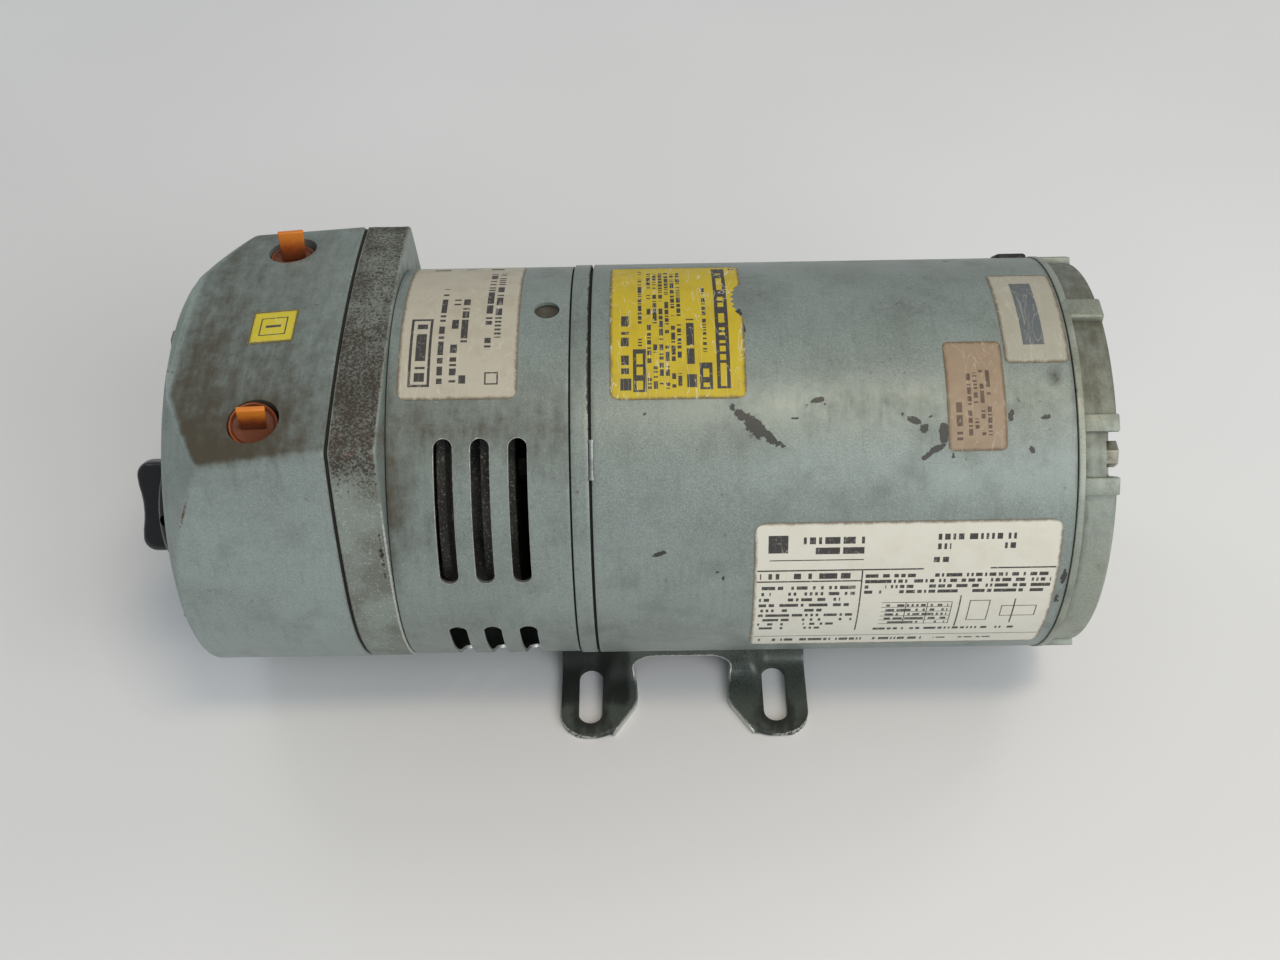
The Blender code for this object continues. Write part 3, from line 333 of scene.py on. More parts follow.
def finish_piece(obj, name, material, stands_for=(), sharp=32, body="pump"):
    """Name a shape, give it its material, and tie it to its body and the nodes it stands for."""
    obj.name = name
    obj.data.materials.clear()
    obj.data.materials.append(material)
    obj.data.shade_smooth()
    obj.data.set_sharp_from_angle(angle=math.radians(sharp))
    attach(obj, body)
    if stands_for:
        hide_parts(*stands_for)


def cylindrical(obj):
    """Each vertex's x, its angle up from +y and its distance from the shaft."""
    x, y, z = local(obj).T
    return x, np.degrees(np.arctan2(z, y)) % 360, np.hypot(y, z)


def near(values, centre, reach):
    """1 at centre, falling to 0 at reach."""
    return np.clip(1 - np.abs(values - centre) / reach, 0, 1)


def gap_to(u, v, line):
    """Distance of each point (u, v) from a line of straight runs."""
    nearest = np.full(len(u), 1e9)
    for (u0, v0), (u1, v1) in zip(line, line[1:]):
        du, dv = u1 - u0, v1 - v0
        along = np.clip(((u - u0) * du + (v - v0) * dv) / (du * du + dv * dv), 0, 1)
        nearest = np.minimum(nearest, np.hypot(u - u0 - along * du, v - v0 - along * dv))
    return nearest


# ---------------------------------------------------------------- materials


def srgb(red, green, blue):
    """A colour given in 0-255 display values, as linear light."""
    linear = []
    for value in (red, green, blue):
        value /= 255
        linear.append(value / 12.92 if value <= 0.04045 else ((value + 0.055) / 1.055) ** 2.4)
    return (*linear, 1.0)


class Surface:
    """A node material built step by step; its sockets are passed on as values."""

    def __init__(self, name, metallic=0.0):
        self.material = bpy.data.materials.new(name)
        self.material.use_nodes = True
        self.tree = self.material.node_tree
        self.shader = self.tree.nodes["Principled BSDF"]
        self.position = self.node("ShaderNodeTexCoord").outputs["Object"]
        self.set("Metallic", metallic)

    def node(self, kind, inputs=None, **settings):
        made = self.tree.nodes.new(kind)
        for key, value in settings.items():
            setattr(made, key, value)
        for key, value in (inputs or {}).items():
            self.put(made.inputs[key], value)
        return made

    def put(self, socket, value):
        if isinstance(value, bpy.types.NodeSocket):
            self.tree.links.new(value, socket)
        else:
            socket.default_value = value

    def set(self, name, value):
        self.put(self.shader.inputs[name], value)

    def math(self, operation, first, second=0.0, third=0.0, clamp=False):
        made = self.node("ShaderNodeMath", operation=operation, use_clamp=clamp)
        for socket, value in zip(made.inputs, (first, second, third)):
            self.put(socket, value)
        return made.outputs[0]

    def product(self, *values):
        return functools.reduce(lambda a, b: self.math("MULTIPLY", a, b), values)

    def most(self, first, second):
        return self.math("MAXIMUM", first, second)

    def value(self, name):
        return self.node("ShaderNodeAttribute", attribute_name=name).outputs["Fac"]

    def noise(self, size, detail=3.0, roughness=0.55, stretch=(1, 1, 1), distortion=0.0):
        """Noise whose features are about size millimetres across."""
        mapped = self.node("ShaderNodeMapping", {"Vector": self.position, "Scale": stretch}).outputs[0]
        settings = {
            "Vector": mapped,
            "Scale": 1 / (size * MM),
            "Detail": detail,
            "Roughness": roughness,
            "Distortion": distortion,
        }
        return self.node("ShaderNodeTexNoise", settings).outputs["Fac"]

    def swing(self, amount, *settings):
        """Noise that swings by amount about zero."""
        return self.math("MULTIPLY_ADD", self.noise(*settings), amount, -amount / 2)

    def ragged(self, name, low, high, *settings):
        """Where a vertex value reaches from low to high, its edge broken up by noise."""
        return self.step(self.math("ADD", self.value(name), self.swing(0.9, *settings)), low, high)

    def step(self, value, low, high, start=0.0, end=1.0):
        """A smooth rise from start to end as value goes from low to high."""
        made = self.node("ShaderNodeMapRange", interpolation_type="SMOOTHSTEP")
        for key, given in zip(range(5), (value, low, high, start, end)):
            self.put(made.inputs[key], given)
        return made.outputs[0]

    def mix(self, amount, first, second):
        made = self.node("ShaderNodeMix", data_type="RGBA")
        self.put(made.inputs[0], amount)
        self.put(made.inputs[6], first)
        self.put(made.inputs[7], second)
        return made.outputs[2]

    def blend(self, amount, first, second):
        made = self.node("ShaderNodeMix", data_type="FLOAT")
        self.put(made.inputs[0], amount)
        self.put(made.inputs[2], first)
        self.put(made.inputs[3], second)
        return made.outputs[0]

    def bump(self, height, distance, strength=1.0):
        """Raise the surface by distance millimetres where height is 1."""
        inputs = {"Height": height, "Distance": distance * MM, "Strength": strength}
        if self.shader.inputs["Normal"].is_linked:
            inputs["Normal"] = self.shader.inputs["Normal"].links[0].from_socket
        self.set("Normal", self.node("ShaderNodeBump", inputs).outputs[0])


GRIME_BROWN = srgb(70, 62, 46)
RUST_BROWN = srgb(92, 58, 38)
BARE_METAL = srgb(196, 198, 194)
# dark primer under chipped paint; on the band's register it also paints shade into the seams
PRIMER_AND_SHADE = srgb(52, 54, 52)
# dark olive for dirt on the base; on the left foot's inner part it also paints shadow
BASE_SOIL_AND_SHADOW = srgb(34, 36, 32)


def painted(name, colour, shade, roughness=0.4, grain=1.0, dirt_and_shade=0.35, soil=GRIME_BROWN):
    """Metallic enamel with flake grain, grimy drips, chips to the primer and worn edges; where the film is
    thin it turns a neutral grey, painted shade that darkens the tops.

    It reads the vertex values grime, rust, chip and wear.
    """
    s = Surface(name)
    cloud = s.noise(38, 4)
    flake = s.noise(0.55, 2, 0.7)
    drag = s.noise(2.2, 3, 0.6, stretch=(1.0, 0.12, 0.12))
    base = s.mix(s.step(cloud, 0.3, 0.7), colour, shade)
    base = s.mix(s.step(flake, 0.35, 0.75, 0.0, 0.34 * grain), base, srgb(186, 195, 190))
    base = s.mix(s.step(s.noise(0.8, 2, 0.6), 0.55, 0.75, 0.0, 0.30 * grain), base, srgb(92, 98, 94))
    base = s.mix(s.step(drag, 0.5, 0.8, 0.0, 0.16), base, srgb(70, 76, 70))
    film = s.step(s.noise(17, 5, 0.65), 0.45, 0.78, 0.0, dirt_and_shade)
    wipe = s.swing(0.5, 3.2, 4, 0.65, (1.0, 0.22, 0.22))
    smear = s.math("ADD", s.value("grime_and_shade"), s.math("ADD", s.swing(0.55, 5, 5, 0.7), wipe))
    grime_and_shade = s.most(film, s.step(smear, 0.08, 0.98, 0.0, 0.94))
    # a thin film turns a neutral grey, painted shade that darkens the tops; a thick one turns the soil
    # colour
    base = s.mix(grime_and_shade, base, s.mix(s.step(grime_and_shade, 0.35, 0.85), srgb(78, 82, 76), soil))
    speck = s.step(s.noise(3.1, 2, 0.5), 0.70, 0.76, 0.0, 0.55)
    base = s.mix(s.math("MULTIPLY", speck, s.step(cloud, 0.4, 0.6)), base, GRIME_BROWN)
    rust_field = s.math("ADD", s.value("rust"), s.math("SUBTRACT", s.noise(1.6, 4, 0.7), 0.55))
    rust = s.step(rust_field, 0.3, 0.7)
    base = s.mix(rust, base, RUST_BROWN)
    chip_and_shade = s.ragged("chip_and_shade", 0.50, 0.53, 2.4, 4, 0.75)
    base = s.mix(chip_and_shade, base, PRIMER_AND_SHADE)
    wear = s.ragged("wear", 0.60, 0.68, 1.3, 4, 0.8)
    base = s.mix(wear, base, BARE_METAL)
    s.set("Base Color", base)
    s.set("Metallic", s.math("MULTIPLY", s.blend(wear, 0.30, 0.9), s.math("SUBTRACT", 1.0, chip_and_shade)))
    rough = s.blend(grime_and_shade, roughness, 0.72)
    s.set("Roughness", s.math("ADD", rough, s.step(flake, 0.3, 0.8, -0.05, 0.12)))
    s.bump(s.noise(0.8, 3, 0.6), 0.03 * grain)
    s.bump(s.noise(9, 2), 0.10)
    s.bump(s.math("SUBTRACT", 1.0, s.most(chip_and_shade, wear)), 0.12)
    return s.material


def cast_paint(name, paint=srgb(134, 143, 136), shade=srgb(110, 114, 104)):
    """Thin enamel over a sand casting: pits, rust specks and bright scraped grains.

    It reads the vertex values grime, rust, chip and wear.
    """
    s = Surface(name)
    grit = s.noise(0.95, 5, 0.75)
    patch = s.noise(15, 4, 0.6)
    fleck = s.noise(0.8, 3, 0.7)
    base = s.mix(s.step(patch, 0.35, 0.65), paint, shade)
    base = s.mix(s.step(fleck, 0.56, 0.68, 0.0, 0.55), base, srgb(186, 193, 186))
    film = s.math("MULTIPLY_ADD", s.value("grime_and_shade"), 0.62, s.math("MULTIPLY_ADD", patch, 0.5, -0.25))
    base = s.mix(s.step(film, 0.05, 0.9, 0.0, 0.85), base, srgb(84, 78, 66))
    stain = s.math("MULTIPLY_ADD", s.value("grime_and_shade"), 0.24, s.math("MULTIPLY_ADD", patch, 0.16, grit))
    base = s.mix(s.step(stain, 0.70, 0.84, 0.0, 0.9), base, srgb(50, 43, 35))
    brown = s.math("MULTIPLY_ADD", s.value("rust"), 0.25, s.noise(2.1, 4, 0.7))
    base = s.mix(s.step(brown, 0.66, 0.76, 0.0, 0.7), base, RUST_BROWN)
    chip_and_shade = s.ragged("chip_and_shade", 0.50, 0.56, 2.0, 4, 0.75)
    base = s.mix(chip_and_shade, base, srgb(38, 36, 32))
    wear = s.ragged("wear", 0.55, 0.66, 1.1, 4, 0.8)
    base = s.mix(wear, base, BARE_METAL)
    s.set("Base Color", base)
    s.set("Metallic", s.blend(wear, 0.15, 0.85))
    s.set("Roughness", s.step(grit, 0.35, 0.7, 0.42, 0.75))
    s.bump(grit, 0.30)
    s.bump(fleck, 0.10)
    return s.material


def bare_metal(name, colour, dark, roughness, turned=True, metallic=1.0):
    """Machined or stamped metal: tool marks, stains and small scratches."""
    s = Surface(name, metallic=metallic)
    marks = s.noise(0.5, 3, 0.6, stretch=(1, 0.15, 0.15) if turned else (0.3, 1, 1))
    stain = s.noise(5, 4, 0.6)
    base = s.mix(s.step(stain, 0.35, 0.75), colour, dark)
    base = s.mix(s.step(s.noise(1.4, 4, 0.7), 0.62, 0.74, 0.0, 0.7), base, GRIME_BROWN)
    s.set("Base Color", base)
    s.set("Roughness", s.step(stain, 0.3, 0.8, roughness, roughness + 0.25))
    s.bump(marks, 0.03)
    return s.material


def gloss_plastic(name):
    """Black phenolic: deep gloss, a little dust and fine rubbing marks."""
    s = Surface(name)
    dust = s.step(s.noise(6, 5, 0.7), 0.52, 0.85, 0.0, 0.12)
    s.set("Base Color", s.mix(dust, srgb(15, 17, 19), srgb(60, 62, 60)))
    rub = s.noise(1.2, 4, 0.7, stretch=(1, 1, 0.25))
    s.set("Roughness", s.step(rub, 0.3, 0.8, 0.20, 0.34))
    s.set("Specular IOR Level", 0.5)
    s.bump(s.noise(0.9, 3), 0.006)
    s.bump(s.noise(7, 2), 0.04)
    return s.material


def cap_plastic(name):
    """Soft translucent orange polyethylene, its flange and skirt browned by oil and darker low in the port
    as painted shade.
    """
    s = Surface(name)
    dirt_and_shade = s.math("ADD", s.value("grime_and_shade"), s.swing(0.5, 2.5, 5, 0.7))
    tone = s.mix(s.step(s.noise(5, 3), 0.3, 0.7), srgb(172, 72, 18), srgb(150, 58, 14))
    tone = s.mix(s.step(s.value("wear"), 0.2, 0.9, 0.0, 0.85), tone, srgb(214, 130, 38))
    s.set("Base Color", s.mix(s.step(dirt_and_shade, 0.2, 0.9, 0.0, 0.9), tone, srgb(100, 54, 28)))
    s.set("Roughness", s.step(s.noise(1.5, 4), 0.3, 0.8, 0.38, 0.6))
    s.set("Subsurface Weight", 0.3)
    s.set("Subsurface Radius", (1.0, 0.35, 0.1))
    s.set("Subsurface Scale", 2.0 * MM)
    s.bump(s.noise(1.2, 4), 0.05)
    return s.material


def soft_rubber(name, colour=srgb(24, 24, 24)):
    s = Surface(name)
    s.set("Base Color", s.mix(s.step(s.noise(3, 5, 0.7), 0.45, 0.75, 0.0, 0.5), colour, srgb(74, 70, 62)))
    s.set("Roughness", s.step(s.noise(1.0, 4), 0.3, 0.7, 0.5, 0.8))
    s.bump(s.noise(0.7, 4, 0.7), 0.05)
    return s.material


def fibrous(name, colour, dark, size=0.4, height=0.2):
    """Pressed fibre, felt or paper: matted hairs and blotches."""
    s = Surface(name)
    hair = s.noise(size, 5, 0.8, stretch=(0.25, 1, 1))
    s.set("Base Color", s.mix(s.step(s.noise(4, 5, 0.7), 0.3, 0.7), colour, dark))
    s.set("Roughness", s.step(hair, 0.3, 0.7, 0.8, 1.0))
    s.bump(hair, height)
    return s.material


def striped(name, colour, dark, pitch, axis, metallic, roughness):
    """Stacked sheets or wound wire: fine lines along one axis."""
    s = Surface(name, metallic=metallic)
    part = s.node("ShaderNodeSeparateXYZ", {"Vector": s.position}).outputs[axis]
    wobble = s.math("MULTIPLY_ADD", s.noise(4, 2), 0.6, s.math("MULTIPLY", part, 1 / (pitch * MM)))
    line = s.math("PINGPONG", wobble, 0.5)
    s.set("Base Color", s.mix(s.step(line, 0.05, 0.3), dark, colour))
    s.set("Roughness", s.step(s.noise(3, 4), 0.3, 0.7, roughness, roughness + 0.2))
    s.bump(s.step(line, 0.0, 0.3), 0.15)
    return s.material


def paper_floor(name):
    s = Surface(name)
    tone = s.mix(s.step(s.noise(420, 2), 0.3, 0.7), srgb(231, 232, 233), srgb(226, 226, 227))
    s.set("Base Color", tone)
    s.set("Roughness", s.step(s.noise(60, 3), 0.3, 0.7, 0.62, 0.75))
    s.bump(s.noise(160, 2), 0.8)
    s.bump(s.noise(1.5, 3), 0.02)
    return s.material


# ---------------------------------------------------------------- printed labels

FILM = 0.16  # a label's thickness
PROUD = 0.04  # its clearance from the paint


class Print(Surface):
    """A printed film on a cylinder round the shaft, from x0 to x1 and from start to end degrees.

    Its marks are placed in millimetres from a corner, a along x and b round the cylinder. A
    negative a or b counts back from the far edge.
    """

    def __init__(self, name, paper, stain, radius, x0, x1, start, end, fade=0.35):
        super().__init__(name + "_print")
        self.name = name
        self.radius, self.x0, self.x1 = radius, x0, x1
        self.start, self.sweep = start, end - start
        self.width = x1 - x0
        self.length = math.radians(self.sweep) * radius
        self.a = self.value("label_x")
        self.b = self.value("label_s")
        blotch = self.step(self.noise(9, 5, 0.65), 0.42, 0.75, 0.0, fade)
        self.paper = self.mix(blotch, paper, stain)
        soil = self.math("ADD", self.value("grime_and_shade"), self.math("SUBTRACT", self.noise(4, 6, 0.75), 0.5))
        self.soil = self.step(soil, 0.15, 0.9, 0.0, 0.8)
        self.inked = 0.0
        self.seed = 0

    def resolved(self, *edges):
        """a0, a1, b0 and b1 as distances from the corner."""
        spans = (self.width, self.width, self.length, self.length)
        return [edge + span if edge < 0 else edge for edge, span in zip(edges, spans)]

    def within(self, value, low, high):
        return self.math("COMPARE", value, (low + high) / 2, (high - low) / 2)

    def area(self, a0, a1, b0, b1):
        return self.product(self.within(self.a, a0, a1), self.within(self.b, b0, b1))

    def ink(self, mask):
        self.inked = mask if self.inked == 0.0 else self.most(self.inked, mask)

    def bar(self, *edges):
        self.ink(self.area(*self.resolved(*edges)))

    def frame_line(self, *edges, width):
        a0, a1, b0, b1 = self.resolved(*edges)
        inner = self.area(a0 + width, a1 - width, b0 + width, b1 - width)
        self.ink(self.math("SUBTRACT", self.area(a0, a1, b0, b1), inner, clamp=True))

    def rows(self, *edges, pitch, stroke, upright=False, reverse=False, fill=0.62):
        """Rows of broken marks that stand for small print, running round the shell or along it."""
        a0, a1, b0, b1 = self.resolved(*edges)
        across, along, start = (self.b, self.a, b0) if upright else (self.a, self.b, a0)
        self.seed += 1
        place = self.math("MULTIPLY", self.math("SUBTRACT", across, start), 1 / pitch)
        line = self.within(self.math("FRACT", place), 0.5 - fill / 2, 0.5 + fill / 2)
        row = self.math("FLOOR", place)
        cell = self.math("FLOOR", self.math("MULTIPLY", along, 1 / stroke))
        word = self.math("FLOOR", self.math("MULTIPLY_ADD", along, 1 / (stroke * 6.5), row))
        marks = []
        for key, limit in ((cell, 0.36), (word, 0.16)):
            where = self.node("ShaderNodeCombineXYZ", {0: row, 1: key, 2: float(self.seed)})
            chance = self.node("ShaderNodeTexWhiteNoise", {"Vector": where.outputs[0]})
            marks.append(self.math("GREATER_THAN", chance.outputs["Value"], limit))
        mask = self.product(self.area(a0, a1, b0, b1), line, *marks)
        if reverse:
            mask = self.math("SUBTRACT", self.area(a0 - 0.6, a1 + 0.6, b0 - 0.8, b1 + 0.8), mask, clamp=True)
        self.ink(mask)

    def done(self, ink=srgb(58, 56, 54), roughness=0.42, creases=0.25):
        worn = self.step(self.noise(1.1, 4, 0.8), 0.30, 0.42, 0.35, 1.0)
        base = self.mix(self.product(self.inked, worn), self.paper, ink)
        edge = self.math("MULTIPLY_ADD", self.noise(2.5, 4, 0.7), 0.8, self.value("edge"))
        base = self.mix(self.step(edge, 0.75, 1.35, 0.0, 0.85), base, srgb(96, 80, 56))
        base = self.mix(self.soil, base, srgb(112, 94, 66))
        fold = self.noise(5, 2, 0.5, stretch=(1.0, 0.2, 0.2), distortion=1.2)
        line = self.step(self.math("ABSOLUTE", self.math("SUBTRACT", fold, 0.5)), 0.0, 0.012, creases, 0.0)
        base = self.mix(line, base, srgb(214, 210, 196))
        self.set("Base Color", base)
        self.set("Roughness", self.step(self.noise(3, 4), 0.3, 0.7, roughness, roughness + 0.2))
        self.bump(self.noise(2.5, 3), 0.05)
        return self.material


def label(p, material, corner, torn=None, centre=(0.0, 0.0), slope=0.0):
    """The print's thin film, with rounded corners and, where torn, a ragged rear edge.

    With a slope it drops by that much for each millimetre in front of the cover's rear edge.
    """
    pitch = 0.7
    rows = max(8, round(p.length / pitch))
    columns = max(6, round(p.width / pitch))
    shells = []
    for lift in (PROUD + FILM, PROUD):
        sheet = []
        for i in range(rows + 1):
            s = p.length * i / rows
            edge = min(s, p.length - s)
            inset = corner - math.sqrt(max(corner**2 - (corner - edge) ** 2, 0)) if edge < corner else 0
            xs = np.linspace(p.x0 + inset, p.x1 - inset - (torn(s) if torn else 0.0), columns + 1)
            sheet.append(polar(xs, p.radius + lift, p.start + p.sweep * i / rows))
        shells.append(np.array(sheet))
    # a ring of points round each row: over the film, then back under it
    rings = np.concatenate([shells[0], shells[1][:, ::-1]], axis=1)
    rings[..., 1] += centre[0]
    rings[..., 2] += centre[1] + slope * (rings[..., 0] - COVER_REAR)
    obj = linked(grid(rings))
    finish_piece(obj, p.name, material, sharp=40)
    x, y, z = local(obj).T
    a = x - p.x0
    b = np.radians((np.degrees(np.arctan2(z - centre[1], y - centre[0])) - p.start) % 360)
    b = np.where(b > math.pi, b - 2 * math.pi, b) * p.radius
    for key, values in (("label_x", a), ("label_s", b)):
        layer = obj.data.attributes.new(key, "FLOAT", "POINT")
        layer.data.foreach_set("value", values.astype(np.float32))
    attribute(obj, "edge", 1 - np.minimum.reduce([a, p.width - a, b, p.length - b]) / 2.0)


def pump_label():
    """Cream label on the shroud: a heading block, rows of marks and two plain blocks."""
    colours = srgb(182, 176, 160), srgb(150, 137, 111)
    p = Print("pump_label", *colours, SHROUD_RADIUS, -93.3, -54.0, 56, 117.5)
    p.frame_line(3.4, 10.6, -32, -4.5, width=0.9)
    p.bar(5.4, 8.8, -9.6, -6.4)
    p.rows(5.2, 9.0, -30, -11, pitch=4.0, stroke=2.2, fill=0.85)
    p.rows(3.2, 11.2, 34, -42, pitch=2.0, stroke=0.55)
    p.rows(12.2, 15.2, 26, -5.5, pitch=3.0, stroke=1.1)
    p.rows(16.4, 22.8, 32, -5.5, pitch=3.2, stroke=0.85, fill=0.7)
    p.rows(27.6, 33.8, 12, -18, pitch=3.1, stroke=0.9, fill=0.7)
    p.frame_line(28.5, 33.0, -9.5, -5.0, width=0.5)
    p.bar(7.0, 12.5, 4, 6.2)
    p.bar(18, 21.5, 3.5, 5.0)
    p.bar(27, 31.5, 3.5, 6.0)
    label(p, p.done(), 3.4)


def motor_label():
    """Yellow label on the motor with dark blocks and rows of marks, torn at its rear edge."""
    colours = srgb(194, 172, 34), srgb(156, 130, 28)
    p = Print("motor_label", *colours, SHELL_RADIUS, -23.7, 20.8, 64, 118.5)
    p.rows(3.4, 6.6, -34, -9, pitch=3.2, stroke=1.2, fill=0.8)
    p.bar(3.4, 7.0, -7.4, -3.2)
    p.rows(8.2, 11.4, -17.5, -3.4, pitch=3.2, stroke=1.0, reverse=True, fill=0.66)
    p.rows(9.0, 11.0, 4, -19.5, pitch=2.0, stroke=0.6)
    p.rows(12.0, 24.0, 6, -3.6, pitch=2.0, stroke=0.6, fill=0.66)
    p.rows(25.0, 28.2, -31, -12, pitch=3.2, stroke=1.2, fill=0.8)
    p.bar(25.2, 28.4, -8.6, -4.0)
    p.rows(30.0, 33.0, -12, -4.0, pitch=3.0, stroke=1.0, reverse=True, fill=0.66)
    p.rows(30.4, 32.4, 14, -15, pitch=2.0, stroke=0.6)
    p.rows(35.6, 38.8, 3.5, -4.2, pitch=3.2, stroke=1.1, reverse=True, fill=0.62)
    p.bar(41.0, 43.0, 2.5, 4.0)

    def torn(s):
        """The missing bite out of the rear edge."""
        along = (s - 26.5) / 9.5
        if abs(along) >= 1:
            return 0.0
        return 3.4 * (1 - along * along) ** 0.6 + 0.7 * math.sin(s * 2.3) * (1 - along * along)

    label(p, p.done(creases=0.6), 3.0, torn)


def nameplate():
    """Large cream label on the near side: ruled boxes and rows of marks along the shaft."""
    colours = srgb(216, 214, 201), srgb(188, 180, 156)
    p = Print("nameplate", *colours, SHELL_RADIUS, 22.8, 123.5, 151.8, 203, fade=0.25)
    p.bar(4.5, 11.0, 4.5, 11.0)
    p.rows(13, 36, 4.6, 12.2, pitch=3.8, stroke=1.0, upright=True, fill=0.66)
    p.bar(5, 36, 13.6, 14.0)
    p.rows(60, 86, 4.0, 11.0, pitch=3.5, stroke=0.9, upright=True)
    p.rows(59, 71, 13.0, 15.6, pitch=2.6, stroke=1.0, upright=True, fill=0.8)
    p.bar(1, 56, 17.6, 18.2)
    p.bar(78, -1, 17.6, 18.2)
    p.bar(1, 36, 22.2, 22.8)
    p.bar(35.6, 36.1, 18, 50)
    p.rows(2, 32, 18.6, 22.0, pitch=3.4, stroke=1.2, upright=True, fill=0.7)
    p.rows(2, 34, 24.0, 49.2, pitch=2.8, stroke=0.9, upright=True, fill=0.55)
    p.rows(37, -2, 19.4, 29.0, pitch=2.4, stroke=0.75, upright=True)
    p.rows(45, 66, 33.5, 46, pitch=2.5, stroke=0.8, upright=True, fill=0.5)
    for b in np.arange(33.0, 46.0, 2.5):
        p.bar(43.5, 67, b, b + 0.3)
    for a in (51.5, 58.8, 67.0):
        p.bar(a, a + 0.3, 33, 46)
    p.bar(69.5, 70.0, 30, 48)
    p.frame_line(73, 80, 32.5, 44.0, width=0.35)
    p.frame_line(84, 96, 35.5, 41.5, width=0.35)
    p.bar(88, 88.5, 32, 46)
    p.rows(42, 94, 48.0, 50.6, pitch=2.6, stroke=0.7, upright=True)
    p.bar(1, -1, 54.2, 54.6)
    p.rows(3, 60, 56.6, 59.6, pitch=3.0, stroke=0.6, upright=True, fill=0.85)
    p.rows(64, 84, 57, 59, pitch=2.0, stroke=0.7, upright=True)
    label(p, p.done(), 4.2)


def lead_note():
    """Pinkish label near the rear with rows of marks."""
    colours = srgb(151, 131, 108), srgb(134, 113, 90)
    p = Print("lead_note", *colours, SHELL_RADIUS, 85.5, 104.5, 103, 133.5, fade=0.5)
    p.rows(2.4, 5.0, -16, -3.5, pitch=2.6, stroke=0.9, fill=0.75)
    p.rows(6.2, 14.6, -27, -5.0, pitch=2.1, stroke=0.6)
    label(p, p.done(ink=srgb(84, 66, 54)), 1.8)


def blank_tag():
    """Cream tag at the top rear with a dark block."""
    colours = srgb(166, 163, 148), srgb(142, 134, 112)
    p = Print("blank_tag", *colours, SHELL_RADIUS, 105.5, 126.5, 75.3, 109.8, fade=0.25)
    p.bar(6.5, 13.6, 6.195, 35.934)
    label(p, p.done(ink=srgb(92, 98, 100)), 1.6)


def top_sticker():
    """Small yellow square with a plain dark border, flat on the cover's crowned top."""
    start = math.degrees(math.acos(5.8 / TOP_RADIUS))
    end = math.degrees(math.acos(-10.2 / TOP_RADIUS))
    colours = srgb(206, 190, 44), srgb(184, 164, 40)
    p = Print("top_sticker", *colours, TOP_RADIUS, -144.7, -129.1, start, end)
    p.frame_line(0.25, 15.35, 0.25, 15.75, width=0.35)
    p.frame_line(3.2, 12.4, 3.6, 12.4, width=0.45)
    p.bar(5.2, 10.4, 7.4, 8.6)
    slope = TOP_FALL / (COVER_REAR - COVER_FRONT)
    label(p, p.done(), 0.5, centre=(0.0, TOP_APEX - TOP_RADIUS), slope=slope)


# ---------------------------------------------------------------- the cover's section


def top_share(x):
    """Share of the top's fall reached at this place along the cover."""
    return max(COVER_REAR - x, 0) / (COVER_REAR - COVER_FRONT)


def section(fall=0.0):
    """Closed outline of the cover as (y, z): round below, flared sides and a low-crowned top."""
    side_centre = Vector((-SIDE_CENTRE[0], SIDE_CENTRE[1]))
    top_centre = Vector((0, TOP_APEX - fall - TOP_RADIUS))
    to_side = SIDE_RADIUS - CORNER_RADIUS
    to_top = TOP_RADIUS - CORNER_RADIUS
    between = top_centre - side_centre
    along = (to_side**2 - to_top**2 + between.length**2) / (2 * between.length)
    unit = between.normalized()
    off = math.sqrt(to_side**2 - along**2)
    bend = side_centre + unit * along + Vector((-unit.y, unit.x)) * off
    tangent = math.degrees(math.atan2(-side_centre.y, -side_centre.x))
    side_end = math.degrees(math.atan2(*(bend - side_centre).yx))
    top_start = math.degrees(math.atan2(*(bend - top_centre).yx))
    half = arc(side_centre, SIDE_RADIUS, tangent, side_end, 40)
    half += arc(bend, CORNER_RADIUS, side_end, top_start, 8)[1:]
    half += arc(top_centre, TOP_RADIUS, top_start, 90, 70)[1:]
    mirrored = [(-y, z) for y, z in reversed(half[:-1])]
    bottom = arc((0, 0), SECTION_RADIUS, 180 - tangent, 360 + tangent, 110)[1:-1]
    return half + mirrored + bottom


def surface_of_top(x, y):
    """Point on the crowned top, and the turn that takes local Z along its normal."""
    lean = math.asin(y / TOP_RADIUS)
    z = TOP_APEX - TOP_FALL * top_share(x) - TOP_RADIUS * (1 - math.cos(lean))
    return Vector((x, y, z)), Matrix.Rotation(-lean, 3, "X")


def kink_at(radius):
    """Where the cone that trims the cover's end meets a section point at this radius."""
    return max(CONE_START[0] + (radius - CONE_START[1]) / CONE_SLOPE, CONE_START[0] - 0.6)


def cover_profile(radius):
    """Outer line from the rear edge to the end's middle, for a section point at this radius."""
    rim = CONE_START[1] + CONE_SLOPE * (COVER_FRONT + 1.0 - CONE_START[0])
    corners = [
        (COVER_REAR, radius - 0.5),
        (COVER_REAR - 0.5, radius),
        (kink_at(radius), radius),
        (COVER_FRONT + 1.0, min(radius, rim)),
        (COVER_FRONT, 69.4),
        (COVER_FRONT, 1.0),
    ]
    soft = rounded(corners, [0, 0.3, 1.6, 1.2, 1.2, 0], steps=5, closed=False)
    cuts = {6: 44, 12: 16, 24: 26}  # steps along the side, the cone and the end face
    result = []
    for i, (start, end) in enumerate(zip(soft, soft[1:])):
        steps = cuts.get(i, 1)
        result += [tuple(Vector(start).lerp(Vector(end), k / steps)) for k in range(steps)]
    return result + [soft[-1]]


